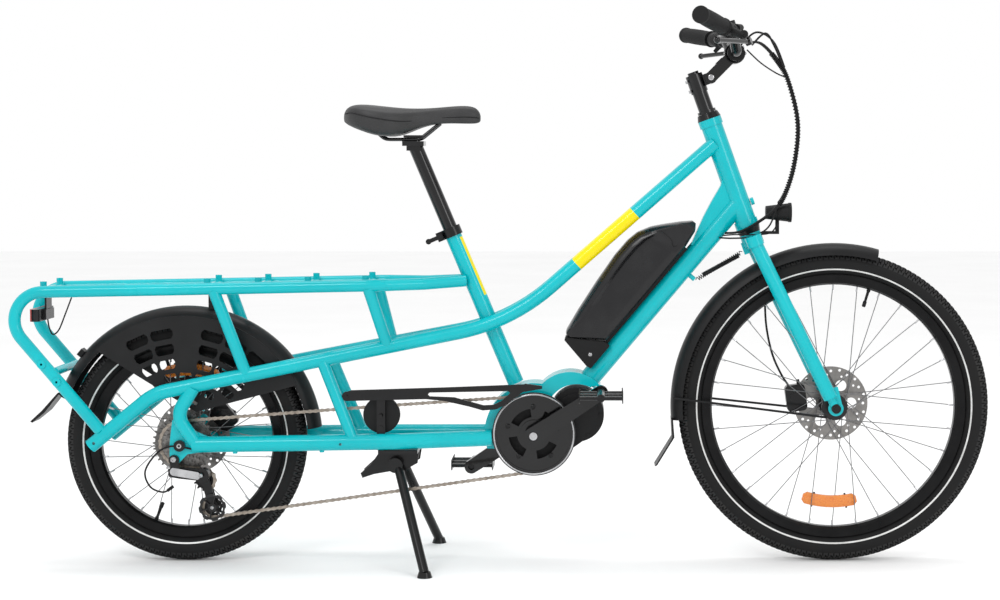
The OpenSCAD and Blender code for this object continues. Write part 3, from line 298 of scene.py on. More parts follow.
SEAT_LEAN = math.radians(-22.9)
SEAT_FOOT = mm(23.5, 0, 379)


def stripe_mask(n):
    """A slim stripe on the front of the seat tube."""
    along = axis_value(n, math.sin(SEAT_LEAN), math.cos(SEAT_LEAN),
                       SEAT_FOOT.x * math.sin(SEAT_LEAN) + SEAT_FOOT.z * math.cos(SEAT_LEAN))
    ahead = axis_value(n, math.cos(SEAT_LEAN), -math.sin(SEAT_LEAN),
                       SEAT_FOOT.x * math.cos(SEAT_LEAN) - SEAT_FOOT.z * math.sin(SEAT_LEAN))
    return n.math("MULTIPLY", between(n, along, 0.205, 0.34), n.math("GREATER_THAN", ahead, 0.0125))


PAINT = teal_paint("turquoise_paint")
PAINT_BAND = teal_paint("turquoise_paint_band", band_mask)
PAINT_STRIPE = teal_paint("turquoise_paint_stripe", stripe_mask)
BLACK_METAL = surface("black_satin_metal", (0.0054, 0.0054, 0.0059), (0.004, 0.004, 0.0045),
                      (0.0081, 0.0081, 0.0086), 0.3, (0.28, 0.42), 700, 0.08, coat=0.25)
BLACK_GLOSS = surface("black_gloss_alloy", (0.004, 0.004, 0.0044), (0.0028, 0.0028, 0.0032),
                      (0.0064, 0.0064, 0.0072), 0.4, (0.16, 0.28), 500, 0.05, coat=0.5)
PLASTIC = surface("black_moulded_plastic", (0.0063, 0.0063, 0.0067), (0.0049, 0.0049, 0.0054),
                  (0.009, 0.009, 0.0095), 0.0, (0.42, 0.58), 1500, 0.35, 0.00012)
FENDER = surface("mudguard_plastic", (0.006, 0.006, 0.0065), (0.005, 0.005, 0.0055),
                 (0.009, 0.009, 0.0095), 0.0, (0.32, 0.46), 900, 0.1)
RUBBER = surface("grip_rubber", (0.008, 0.008, 0.0085), (0.006, 0.006, 0.0065),
                 (0.011, 0.011, 0.0115), 0.0, (0.6, 0.75), 1800, 0.4, 0.00015)
TYRE = surface("tyre_rubber", (0.007, 0.007, 0.0073), (0.0049, 0.0049, 0.0052),
               (0.0105, 0.0101, 0.0098), 0.0, (0.62, 0.8), 1100, 0.35, 0.0002, patch=30)
STRIPE = surface("reflective_stripe", (0.62, 0.62, 0.61), (0.5, 0.5, 0.49),
                 (0.72, 0.72, 0.71), 0.2, (0.3, 0.45), 2000, 0.2, patch=60)
STEEL = surface("brushed_steel", (0.42, 0.42, 0.43), (0.34, 0.34, 0.35),
                (0.52, 0.52, 0.53), 0.9, (0.2, 0.34), 800, 0.15, patch=40)
CHAIN_STEEL = surface("chain_steel", (0.30, 0.26, 0.22), (0.2, 0.17, 0.145),
                      (0.42, 0.38, 0.34), 0.9, (0.26, 0.42), 500, 0.1, patch=120)
COG_STEEL = surface("sprocket_steel", (0.13, 0.125, 0.12), (0.08, 0.078, 0.075),
                    (0.24, 0.23, 0.22), 0.85, (0.28, 0.42), 500, 0.15, patch=80)
RIM = surface("rim_anodised", (0.006, 0.006, 0.0064), (0.0044, 0.0044, 0.0048),
              (0.0088, 0.0088, 0.0092), 0.5, (0.25, 0.35), 600, 0.06, patch=25)
SPOKE = surface("spoke_steel", (0.16, 0.16, 0.165), (0.12, 0.12, 0.125),
                (0.24, 0.24, 0.245), 0.9, (0.25, 0.35), 400, 0.05, patch=60)
ORANGE = Nodes("orange_reflector")
_cells = ORANGE.voronoi(420.0)
ORANGE.set(Base_Color=ORANGE.ramp(_cells, [(0.0, (0.78, 0.26, 0.01)), (1.0, (0.62, 0.13, 0.0))]),
           Roughness=0.18, Coat_Weight=1.0)
ORANGE.bump(_cells, 0.8, 0.0008)
ORANGE = ORANGE.mat
RED = Nodes("red_lens")
_cells = RED.voronoi(300.0)
RED.set(Base_Color=RED.ramp(_cells, [(0.0, (0.75, 0.015, 0.01)), (1.0, (0.42, 0.0, 0.0))]),
        Roughness=0.12, Coat_Weight=1.0)
RED.bump(_cells, 0.7, 0.0008)
RED = RED.mat
LENS_MAT = Nodes("lamp_lens")
_ribs = LENS_MAT.voronoi(160.0)
LENS_MAT.set(Base_Color=LENS_MAT.ramp(_ribs, [(0.0, (0.85, 0.86, 0.88)), (1.0, (0.45, 0.46, 0.48))]),
             Roughness=0.06, Coat_Weight=1.0, Metallic=0.55)
LENS_MAT.bump(_ribs, 0.5, 0.0006)
LENS_MAT = LENS_MAT.mat
LEATHER = Nodes("saddle_cover")
_big = LEATHER.noise(22.0, 5.0)
_grain = LEATHER.voronoi(900.0)
LEATHER.set(Base_Color=LEATHER.ramp(_big, [(0.3, (0.011, 0.011, 0.012)),
                                           (0.7, (0.02, 0.02, 0.021))]),
            Roughness=LEATHER.span(_big, 0.3, 0.7, 0.42, 0.56))
LEATHER.bump(_grain, 0.35, 0.0003)
LEATHER = LEATHER.mat
CASE = surface("battery_case_gloss", (0.007, 0.007, 0.008), (0.005, 0.005, 0.006),
               (0.012, 0.012, 0.013), 0.0, (0.2, 0.32), 900, 0.1, specular=0.35)
SCREEN = surface("display_glass", (0.01, 0.011, 0.013), (0.009, 0.01, 0.012),
                 (0.013, 0.014, 0.016), 0.0, (0.06, 0.1), 200, 0.01, coat=1.0)



def masked(name, mask, inside, outside, metal_in, metal_out, rough=0.3):
    """One surface inside the mask and another outside it."""
    n = Nodes(name)
    m = mask(n)
    grain = n.noise(60.0, 3.0)
    within, beyond = (n.ramp(grain, [(0.3, tuple(v * 0.8 for v in colour)), (0.7, colour)])
                      for colour in (inside, outside))
    n.set(Base_Color=n.mix(m, beyond, within),
          Metallic=n.span(m, 0.0, 1.0, metal_out, metal_in), Roughness=rough)
    n.bsdf.inputs["Specular IOR Level"].default_value = 0.3
    n.bump(n.noise(700.0, 2.0), 0.08, 0.0001)
    return n.mat


FRONT_DISC_Y = 0.038
REAR_DISC_Y = 0.054
DISC_HALF = 0.0016
LENS_DEPTH = 0.009
LAMP_X = centre("tail_light").x


def rotor_mask(y):
    """1 inside the brake disc that lies at y, for masked()."""
    return lambda n: between(n, across_value(n), y - DISC_HALF, y + DISC_HALF)


DISC_GREY = (0.26, 0.25, 0.24)
HUB_BLACK = (0.02, 0.02, 0.021)
HUB_F, HUB_R = (masked(name, rotor_mask(y), DISC_GREY, HUB_BLACK, 0.95, 0.3)
                for name, y in (("front_hub_and_disc", FRONT_DISC_Y),
                                ("rear_hub_and_disc", REAR_DISC_Y)))
TAIL = masked("tail_lamp", lambda n: n.math("LESS_THAN", axis_value(n, 1.0, 0.0, 0.0),
                                            LAMP_X - LENS_DEPTH),
              (0.5, 0.02, 0.01), (0.012, 0.012, 0.013), 0.0, 0.0, 0.25)
# Groove rubber: tyre black made darker and given little specular, painted shade for the tread's
# recesses.
GROOVE_PAINTED_SHADE = surface("tread_groove_painted_shade", (0.004, 0.004, 0.004), (0.003, 0.003, 0.003),
                      (0.006, 0.006, 0.006), 0.0, (0.8, 0.9), 900, 0.2, specular=0.05)
# Block rubber: tyre black made about three times lighter, painted highlight for the raised tread
# blocks.
TREAD_PAINTED_HIGHLIGHT = surface("tread_block_painted_highlight", (0.0204, 0.0204, 0.021), (0.0156, 0.0156, 0.0162),
                (0.0288, 0.0276, 0.0264), 0.0, (0.6, 0.75), 1100, 0.3, 0.0002, patch=30)
BLACK_PLATE = surface("guard_plastic", (0.009, 0.009, 0.0095), (0.0067, 0.0067, 0.0072),
                      (0.0126, 0.0126, 0.0131), 0.0, (0.35, 0.5), 1300, 0.35, 0.00012)

NODE_MATERIALS = {
    PAINT: ["head_tube", "down_tube", "deck_rail_left", "deck_rail_right",
            "lower_rails", "frame_struts", "deck_crossbars", "motor_cradle", "fork"],
    PAINT_BAND: ["side_tube_left", "side_tube_right"],
    PAINT_STRIPE: ["seat_tube"],
    BLACK_METAL: ["seat_collar", "headset_cups", "quick_release_lever", "front_axle",
                  "rear_axle", "kickstand_legs", "kickstand_bracket", "stabiliser_spring",
                  "front_caliper", "rear_caliper", "derailleur_body", "derailleur_cage",
                  "pedal_left", "pedal_right", "chain_guard"],
    BLACK_GLOSS: ["seatpost", "steerer_riser", "stem_arm", "handlebar", "crank_arms",
                  "brake_lever_left", "brake_lever_right", "chainring"],
    HUB_F: ["front_hub"],
    HUB_R: ["rear_hub"],
    TAIL: ["tail_light"],
    BLACK_PLATE: ["skirt_guards"],
    PLASTIC: ["drive_motor", "battery", "battery_mount", "bar_controls",
              "headlight", "idler_pulley", "guide_pulley", "tension_pulley"],
    FENDER: ["front_fender", "rear_fender"],
    RIM: ["front_rim", "rear_rim"],
    SPOKE: ["front_spokes", "rear_spokes"],
    COG_STEEL: ["cassette"],
    RUBBER: ["grips", "cable_loom"],
    CHAIN_STEEL: ["chain"],
    TYRE: ["front_tyre", "rear_tyre"],
    LEATHER: ["saddle"],
}
for material, names in NODE_MATERIALS.items():
    for name in names:
        if name in NODES:
            slots = NODES[name].data.materials
            slots.clear()
            slots.append(material)


# ---------- mesh helpers ----------


def make(name, verts, faces, mats, body, smooth=True, index=None):
    """A mesh piece that rides on a body."""
    mesh = bpy.data.meshes.new(name)
    mesh.from_pydata([tuple(v) for v in verts], [], faces)
    for m in mats if isinstance(mats, list) else [mats]:
        mesh.materials.append(m)
    if index:
        mesh.polygons.foreach_set("material_index", index)
    bm = bmesh.new()
    bm.from_mesh(mesh)
    bmesh.ops.recalc_face_normals(bm, faces=bm.faces)
    bm.to_mesh(mesh)
    bm.free()
    mesh.polygons.foreach_set("use_smooth", [smooth] * len(mesh.polygons))
    obj = bpy.data.objects.new(name, mesh)
    bpy.context.scene.collection.objects.link(obj)
    if body:
        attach(obj, body)
    return obj


def sharpen(obj, angle=35):
    """Smooth shading with the edges over the angle kept sharp."""
    obj.data.set_sharp_from_angle(angle=math.radians(angle))
    return obj


class Build:
    """Collects rings, tubes and lathed shapes into one mesh."""

    def __init__(self):
        self.v, self.f, self.m = [], [], []
        self.mat = 0

    def grid(self, rows, closed_u=True, closed_v=False, caps=True):
        """rows of points, each the same length; closed_u joins the row ends."""
        base, n = len(self.v), len(rows[0])
        for r in rows:
            self.v.extend(r)
        count = len(rows)
        for i in range(count if closed_v else count - 1):
            j = (i + 1) % count
            for k in range(n if closed_u else n - 1):
                q = (k + 1) % n
                self.f.append((base + i * n + k, base + i * n + q,
                               base + j * n + q, base + j * n + k))
                self.m.append(self.mat)
        if caps and closed_u and not closed_v:
            self.f.append(tuple(base + k for k in range(n)))
            self.f.append(tuple(base + (count - 1) * n + k for k in range(n - 1, -1, -1)))
            self.m += [self.mat] * 2

    def tube(self, pts, r, sides=10, caps=True, closed=False):
        """A round tube along points; r is one radius or one for each point."""
        pts = [Vector(p) for p in pts]
        n = len(pts)
        radii = r if isinstance(r, (list, tuple)) else [r] * n
        prev = None
        rows = []
        for i, p in enumerate(pts):
            a = pts[(i - 1) % n] if closed else pts[max(i - 1, 0)]
            b = pts[(i + 1) % n] if closed else pts[min(i + 1, n - 1)]
            d = (b - a).normalized()
            if prev is None:
                seed = Vector((0, 0, 1)) if abs(d.z) < 0.9 else Vector((0, 1, 0))
                prev = d.cross(seed).normalized()
            prev = (prev - d * prev.dot(d)).normalized()
            side = d.cross(prev)
            rows.append([p + (prev * math.cos(TAU * k / sides) + side * math.sin(TAU * k / sides))
                         * radii[i] for k in range(sides)])
        self.grid(rows, caps=caps, closed_v=closed)

    def lathe(self, at, axis, profile, sides=24):
        """Turns (distance along axis, radius) pairs about the axis."""
        axis = Vector(axis).normalized()
        seed = Vector((0, 0, 1)) if abs(axis.z) < 0.9 else Vector((1, 0, 0))
        u = axis.cross(seed).normalized()
        w = axis.cross(u)
        rows = [[Vector(at) + axis * d + (u * math.cos(TAU * k / sides)
                 + w * math.sin(TAU * k / sides)) * r for k in range(sides)]
                for d, r in profile]
        self.grid(rows)

    def bolt(self, at, axis, r, h=None, socket=True):
        """A domed socket-head screw whose seat is at the point."""
        h = h or r * 0.8
        prof = [(-0.0002, r * 0.9), (0, r), (h * 0.6, r), (h * 0.9, r * 0.82), (h, r * 0.55)]
        if socket:
            prof += [(h, r * 0.5), (h * 0.35, r * 0.45)]
        self.lathe(at, axis, prof, 12)

    def done(self, name, mats, body, smooth=True, sharp=35):
        """Makes the piece and has it ride on the body."""
        obj = make(name, self.v, self.f, mats, body, smooth, self.m)
        return sharpen(obj, sharp) if smooth else obj


def smooth_path(pts, steps):
    """Catmull-Rom points through the given ones."""
    pts = [Vector(p) for p in pts]
    out = []
    for i in range(len(pts) - 1):
        a, b = pts[max(i - 1, 0)], pts[i]
        c, d = pts[i + 1], pts[min(i + 2, len(pts) - 1)]
        for s in range(steps):
            t = s / steps
            out.append(0.5 * (2 * b + (c - a) * t + (2 * a - 5 * b + 4 * c - d) * t * t
                              + (3 * b - a - 3 * c + d) * t ** 3))
    out.append(pts[-1])
    return out


def helix(path, radius, turns, steps_turn=14):
    """Points that wind round a path of points."""
    n = int(turns * steps_turn)
    out, prev = [], None
    for i in range(n + 1):
        f = i / n * (len(path) - 1)
        k = min(int(f), len(path) - 2)
        p = path[k].lerp(path[k + 1], f - k)
        d = (path[k + 1] - path[k]).normalized()
        if prev is None:
            prev = d.orthogonal().normalized()
        prev = (prev - d * prev.dot(d)).normalized()
        side = d.cross(prev)
        a = TAU * i / steps_turn
        out.append(p + (prev * math.cos(a) + side * math.sin(a)) * radius)
    return out


def polar(c, r, a, y=0.0):
    """A point about a wheel centre, angle in radians from forward, up positive."""
    return Vector((c.x + r * math.cos(a), c.y + y, c.z + r * math.sin(a)))


# ---------- tyres, valves, nipples, reflectors ----------

TYRE_HALF = half("front_tyre").y
PROFILE = 40
LUG_STEPS = 6
FRONT_RIM_R, REAR_RIM_R = 0.286, 0.2095


def tyre(name, node, c, ro, rim_r, body, lugs):
    """A balloon tyre with slanted tread blocks and a reflective stripe on each wall; the grooves
    carry painted shade and the blocks a painted highlight.
    """
    w = TYRE_HALF
    prof = []
    for k in range(PROFILE + 1):
        a = math.radians(-152 + 304 * k / PROFILE)
        prof.append((ro - w + (w - 0.0003) * math.cos(a), (w - 0.0003) * math.sin(a), a))
    seat = [(rim_r - 0.006, 0.0135), (rim_r - 0.0068, 0.0105)]
    b = Build()
    seg = lugs * LUG_STEPS
    rows, tags, dips = [], [], []
    for i in range(seg):
        th = TAU * i / seg
        row, low = [], []
        for r, y, a in prof:
            deg = abs(math.degrees(a))
            phase = (i / LUG_STEPS + (deg / 17 if deg < 62 else 62 / 17)) % 1.0
            dip = 0.0
            if 9 < deg < 66 and phase < 0.34:
                dip = 0.0016
            elif deg <= 9 and (i / LUG_STEPS) % 1.0 < 0.2:
                dip = 0.0009
            elif 66 <= deg < 74:
                dip = 0.0010
            low.append(dip > 0.0012)
            rr = r - dip * math.cos(a)
            yy = y - dip * math.sin(a)
            row.append(polar(c, rr, th, yy))
        row += [polar(c, seat[0][0], th, seat[0][1]), polar(c, seat[1][0], th, seat[1][1]),
                polar(c, seat[1][0], th, -seat[1][1]), polar(c, seat[0][0], th, -seat[0][1])]
        rows.append(row)
        dips.append(low)
    n = len(rows[0])
    b.grid(rows, closed_v=True)
    for i in range(seg):
        for k in range(n):
            mid = (prof[k][2] + prof[k + 1][2]) / 2 if k < PROFILE else 9
            deg = abs(math.degrees(mid))
            if k < PROFILE and 112 < deg < 121:
                tags.append(1)
            elif k < PROFILE and deg < 68:
                j = (i + 1) % seg
                sunk = dips[i][k] + dips[i][k + 1] + dips[j][k] + dips[j][k + 1] >= 2
                # Sunk faces take the painted-shade groove rubber, raised faces the painted-highlight
                # block rubber.
                tags.append(2 if sunk else 3)
            else:
                tags.append(0)
    b.m = tags
    obj = b.done(name, [TYRE, STRIPE, GROOVE_PAINTED_SHADE, TREAD_PAINTED_HIGHLIGHT], body, sharp=50)
    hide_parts(node)
    return obj


tyre("front_tyre_tread", "front_tyre", FRONT_AXLE, FRONT_R, FRONT_RIM_R, "front_wheel", 170)
tyre("rear_tyre_tread", "rear_tyre", REAR_AXLE, REAR_R, REAR_RIM_R, "rear_wheel", 130)

SPOKES = 32
RIM_DEPTH = 0.025


def rim_details(name, c, rim_r, body, valve_angle):
    """Spoke nipples on the inner rim, and the valve."""
    b = Build()
    inner = rim_r - RIM_DEPTH
    for i in range(SPOKES):
        a = TAU * i / SPOKES
        # seen from the side, the wheel's own angle runs the other way
        p = polar(c, inner + 0.0005, -a, 0)
        y = -0.004 if i % 2 else 0.004
        p.y += y
        axis = (Vector((c.x, c.y + y * 6, c.z)) - p).normalized()
        b.lathe(p, axis, [(0, 0.0021), (0.010, 0.0019), (0.0115, 0.0014), (0.0125, 0.0009)], 8)
    b.done(name + "_nipples", STEEL, body)
    v = Build()
    va = math.radians(valve_angle)
    p = polar(c, inner, va)
    v.lathe(p, c - p, [(0, 0.0042), (0.004, 0.0042), (0.006, 0.0031), (0.026, 0.0029),
                       (0.027, 0.0041), (0.038, 0.004), (0.039, 0.003)], 14)
    v.done(name + "_valve", RUBBER, body)


rim_details("front_wheel", FRONT_AXLE, FRONT_RIM_R, "front_wheel", 73)
rim_details("rear_wheel", REAR_AXLE, REAR_RIM_R, "rear_wheel", -112)


def reflector(name, c, r, angle, body, y_side):
    """An oblong spoke reflector, curved with the rim, held by two clips."""
    b = Build()
    rows = []
    n = 16
    length, depth, thick = 0.118, 0.027, 0.009
    for i in range(n + 1):
        f = i / n * 2 - 1
        a = math.radians(angle) + f * length / 2 / r
        w = depth / 2 * math.sqrt(max(0.0, 1 - max(0.0, abs(f) - 0.86) ** 2 / 0.14 ** 2) * 0.75
                                  + 0.25)
        row = []
        for k in range(12):
            t = TAU * k / 12
            cx = math.copysign(abs(math.cos(t)) ** 0.45, math.cos(t))
            cy = math.copysign(abs(math.sin(t)) ** 0.45, math.sin(t))
            row.append(polar(c, r + cx * w, a, y_side + cy * thick / 2))
        rows.append(row)
    b.grid(rows)
    b.done(name, ORANGE, body, sharp=50)
    clip = Build()
    for s in (-0.6, 0.6):
        a = math.radians(angle) + s * length / 2 / r
        clip.tube([polar(c, r - 0.016, a, y_side), polar(c, r + 0.016, a, y_side)], 0.0022, 8)
    clip.done(name + "_clips", PLASTIC, body)


reflector("front_reflector", FRONT_AXLE, 0.208, -92, "front_wheel", 0.0)
reflector("rear_reflector", REAR_AXLE, 0.153, 86, "rear_wheel", 0.0)

# ---------- chain ----------

CHAIN_PITCH = 0.0127
CHAIN_Y = centre("chain").y


def wheel_r(teeth):
    """The pitch radius of a chain wheel, in metres."""
    return CHAIN_PITCH * teeth / TAU


def flat(a, r, ang):
    """A point on a circle, in the plane of the chain."""
    return Vector((a.x + r * math.cos(ang), a.z + r * math.sin(ang)))


def open_tangent(a, ra, b, rb):
    """The angle of the tangent that stays on one side of both wheels."""
    d = Vector((b.x - a.x, b.z - a.z))
    return math.atan2(d.y, d.x) + math.acos((ra - rb) / d.length)


def cross_tangent(a, ra, b, rb, sign):
    """The angle of the tangent that crosses between the wheels."""
    d = Vector((b.x - a.x, b.z - a.z))
    return math.atan2(d.y, d.x) + sign * math.acos((ra + rb) / d.length)


R_RING, R_COG, R_IDLE, R_JOCK = (wheel_r(t) for t in (40, 24, 9, 11))
top_a = open_tangent(REAR_AXLE, R_COG, IDLER, R_IDLE)
top_b = open_tangent(IDLER, R_IDLE, BB, R_RING)
low_a = open_tangent(BB, R_RING, TENSION, R_JOCK)
cross_a = cross_tangent(TENSION, R_JOCK, GUIDE, R_JOCK, 1)
back_a = cross_tangent(GUIDE, R_JOCK, REAR_AXLE, R_COG, -1)


def arc(c, r, a0, a1, n=40):
    """Points round a wheel from one angle to another."""
    return [flat(c, r, a0 + (a1 - a0) * i / n) for i in range(n + 1)]


path2d = []
path2d += arc(IDLER, R_IDLE, top_a, top_b, 4)
path2d += arc(BB, R_RING, top_b, low_a - (TAU if low_a > top_b else 0))
path2d += arc(TENSION, R_JOCK, low_a, cross_a - TAU)
path2d += arc(GUIDE, R_JOCK, cross_a - math.pi, back_a)
path2d += arc(REAR_AXLE, R_COG, back_a - math.pi, top_a - TAU)


def resample(pts, step):
    """Even points round a closed path, with the step adjusted to close it."""
    total = [0.0]
    ring = pts + [pts[0]]
    for p, q in zip(ring, ring[1:]):
        total.append(total[-1] + (q - p).length)
    n = round(total[-1] / step / 2) * 2
    out, k = [], 0
    for i in range(n):
        s = total[-1] * i / n
        while total[k + 1] < s:
            k += 1
        f = (s - total[k]) / max(total[k + 1] - total[k], 1e-9)
        out.append(ring[k].lerp(ring[k + 1], f))
    return out


def chain_mesh():
    """The closed chain: inner and outer plates, pins and rollers."""
    pins = resample(path2d, CHAIN_PITCH)
    b = Build()
    n = len(pins)
    for i in range(n):
        p, q = pins[i], pins[(i + 1) % n]
        d = (q - p).normalized()
        nrm = Vector((-d.y, d.x))
        outer = i % 2 == 0
        y_mid = 0.0023 if outer else 0.0015
        for s in (-1, 1):
            outline = []
            for end, c in ((1, q), (-1, p)):
                for k in range(7):
                    a = math.radians(-80 + 160 * k / 6)
                    off = d * end * math.cos(a) * 0.0038 + nrm * end * math.sin(a) * 0.0038
                    outline.append(c + off)
                waist = (p + q) / 2 + nrm * end * 0.0024
                outline.append(waist)
            y0 = CHAIN_Y + s * y_mid - 0.0004
            rows = [[Vector((o.x, y0 + h * 0.0008, o.y)) for o in outline] for h in (0, 1)]
            b.grid(rows)
        b.lathe(Vector((p.x, CHAIN_Y - 0.0028, p.y)), (0, 1, 0),
                [(0, 0.0014), (0.0003, 0.0018), (0.0053, 0.0018), (0.0056, 0.0014)], 8)
        b.lathe(Vector((p.x, CHAIN_Y - 0.0011, p.y)), (0, 1, 0),
                [(0, 0.0034), (0.0022, 0.0034)], 10)
    obj = b.done("chain_links", CHAIN_STEEL, "frame")
    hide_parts("chain")


chain_mesh()

# ---------- saddle ----------


def saddle():
    """A lofted comfort saddle: broad tail with wings, dipped middle and slim nose."""
    lo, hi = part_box("saddle")
    x0, x1 = lo[0] + 0.001, hi[0] - 0.001
    half_w = (hi[1] - lo[1]) / 2
    # position along, half width, top, edge height, bottom
    stations = [
        (0.00, 0.20, 0.957, 0.952, 0.944), (0.02, 0.46, 0.972, 0.958, 0.938),
        (0.07, 0.74, 0.980, 0.960, 0.930), (0.15, 0.93, 0.9815, 0.955, 0.921),
        (0.25, 1.00, 0.9790, 0.949, 0.911), (0.36, 0.93, 0.9755, 0.944, 0.909),
        (0.46, 0.70, 0.9735, 0.942, 0.917), (0.56, 0.46, 0.9735, 0.945, 0.930),
        (0.67, 0.33, 0.9750, 0.949, 0.938), (0.78, 0.285, 0.9775, 0.951, 0.939),
        (0.89, 0.26, 0.9790, 0.952, 0.938), (0.96, 0.22, 0.9755, 0.951, 0.938),
        (0.99, 0.14, 0.9660, 0.950, 0.941), (1.00, 0.06, 0.9570, 0.950, 0.945)]
    b = Build()
    rows = []
    for f, w, top, edge, bottom in stations:
        w *= half_w
        x = x0 + (x1 - x0) * f
        groove = 0.0045 * math.exp(-((f - 0.42) / 0.28) ** 2)
        pts = []
        for k in range(-6, 7):
            t = k / 6
            y = w * math.sin(t * math.pi / 2)
            z = edge + (top - edge) * (1 - abs(t) ** 2.4) ** 0.75
            z -= groove * math.exp(-(y / 0.012) ** 2)
            pts.append(Vector((x, y, z)))
        for k in range(5):
            t = 1 - k / 2
            y = w * 0.94 * t
            z = bottom + (1 - abs(t)) * 0.006
            pts.append(Vector((x, y, z)))
        rows.append(pts)
    b.grid(rows)
    obj = b.done("saddle_pad", LEATHER, "seat", sharp=180)
    sub = obj.modifiers.new("subdivision", "SUBSURF")
    sub.levels = sub.render_levels = 2
    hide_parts("saddle")
    seam = Build()
    for s in (-1, 1):
        line = []
        for f, w, top, edge, bottom in stations[1:-1]:
            w *= half_w
            line.append(Vector((x0 + (x1 - x0) * f, s * w * 0.985, edge + 0.0015)))
        seam.tube(smooth_path(line, 5), 0.0009, 6)
    seam.done("saddle_piping", RUBBER, "seat")


saddle()

# ---------- cable loom ----------

LOOM = [hp(120, 794, -82), hp(152, 784, -50), hp(176, 740, -16), hp(186, 690, 0),
        hp(176, 600, 0), hp(140, 520, -4), hp(96, 462, -14), hp(60, 440, -30),
        hp(20, 428, -36), hp(-20, 422, -32), hp(-50, 428.6, -20)]


def loom():
    """Three cables side by side under a spiral wrap."""
    path = smooth_path(LOOM, 6)
    b = Build()
    for k in range(3):
        a = TAU * k / 3
        off = Vector((math.cos(a), math.sin(a), 0)) * 0.0024
        b.tube([p + off for p in path], 0.0023, 8)
    wrap_part = path[10:40]
    b.tube(helix(wrap_part, 0.0052, 62, 10), 0.0011, 5)
    obj = b.done("cable_loom_wrapped", PLASTIC, None, sharp=60)
    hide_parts("cable_loom")
    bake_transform(obj)


loom()

# ---------- grips ----------

GRIP_LEN = 0.130


def grip_line(s):
    """The outer end of the grip on side s, its inner end's place on the bar, and its direction."""
    out, inner = hp(33, 870, s * 320), hp(82, 833, s * 190)
    return out, inner, (out - inner).normalized()


def grips():
    """Ribbed grip sleeves with a flange at each end."""
    b = Build()
    for s in (-1, 1):
        out, _, direction = grip_line(s)
        inner = out - direction * GRIP_LEN
        prof = []
        n = 52
        for i in range(n + 1):
            f = i / n
            r = 0.0158 + 0.0012 * math.sin(f * math.pi) + (0.0006 if i % 2 else 0)
            if i < 2:
                r = 0.0185
            if i > n - 3:
                r = 0.0178
            prof.append((f * GRIP_LEN, r))
        prof.append((GRIP_LEN + 0.0002, 0.012))
        b.lathe(inner, direction, prof, 28)
    obj = b.done("grip_sleeves", RUBBER, "stem", sharp=60)
    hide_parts("grips")


grips()

# ---------- battery ----------

DOWN_LOW = mm(174.5, 0, 385)
DOWN_HIGH = hp(-2, 480)
DOWN_U = (DOWN_HIGH - DOWN_LOW).normalized()
DOWN_N = Vector((-DOWN_U.z, 0, DOWN_U.x))


def bat(u, v, y=0.0):
    """A point by millimetres along the down tube, away from it and across."""
    return DOWN_LOW + DOWN_U * u * MM + DOWN_N * v * MM + Vector((0, y * MM, 0))


def line_at(pts, u):
    """The height at u of a line through (u, height) points."""
    for (a, va), (b, vb) in zip(pts, pts[1:]):
        if u <= b:
            return va + (vb - va) * (u - a) / (b - a)
    return pts[-1][1]


def ease(t):
    """A smooth step from 0 to 1."""
    t = min(1.0, max(0.0, t))
    return t * t * (3 - 2 * t)


def battery():
    """A battery case lofted along the down tube, with a sculpted hollow in each side."""
    top = [(49, 98), (56, 106), (108, 115), (180, 124), (248, 130.5), (290, 130), (317, 125),
           (345, 110), (366, 93), (392, 70), (412, 50)]
    low = [(49, 97), (98, 27.2), (360, 27.2), (399, 33), (412, 42)]
    first, last, stations = 49.5, 411.5, 74
    half_width, hollow, crease = 40.5, 9.5, 0.74
    b = Build()
    rows = []
    # share of the height, and of the half width there
    shape = [(0.0, 0.80), (0.04, 0.93), (0.10, 1.0), (0.2, 1.0), (0.3, 1.0), (0.4, 1.0), (0.5, 1.0),
             (0.58, 1.0), (0.64, 1.0), (0.69, 1.0), (0.74, 1.0), (0.80, 1.0), (0.87, 0.95),
             (0.93, 0.82), (0.975, 0.6), (1.0, 0.3)]
    for i in range(stations + 1):
        u = first + (last - first) * i / stations
        v0, v1 = line_at(low, u), line_at(top, u)
        end = min(1.0, (u - 49) / 14 + 0.72, (412 - u) / 30 + 0.55)
        depth = hollow * ease((u - 95) / 190) * (1 - ease((u - 322) / 26))
        side = []
        for t, w in shape:
            y = half_width * w * end
            if t <= 0.80:
                y -= depth * max(0.0, 1 - abs(t - crease) / (0.06 if t > crease else 0.46))
            side.append((v0 + (v1 - v0) * t, y))
        row = [bat(u, v, y) for v, y in side] + [bat(u, v, -y) for v, y in reversed(side)]
        rows.append(row)
    b.grid(rows)
    obj = b.done("battery_case", CASE, "battery", sharp=28)
    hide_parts("battery")
    seam = Build()
    for s in (-1, 1):
        seam.tube(smooth_path([bat(u, v, s * y) for u, v, y in
                               [(352, 90, 40.2), (352, 62, 40.7), (345, 45, 40.9), (392, 40, 33)]],
                              4), 0.0009, 6)
        seam.tube([bat(60, 92, s * 35), bat(101, 30, s * 38)], 0.0012, 6)
    seam.done("battery_seams", PLASTIC, "battery")
    screw = Build()
    screw.bolt(bat(52, 34, -33), (0, -1, 0), 0.004, 0.0014)
    screw.done("battery_mount_screw", STEEL, "frame")


battery()

# ---------- crank set ----------


def about(middle, radius, angle, y):
    """A point on a circle that faces across the bicycle, at y."""
    return Vector((middle.x + radius * math.cos(angle), y, middle.z + radius * math.sin(angle)))


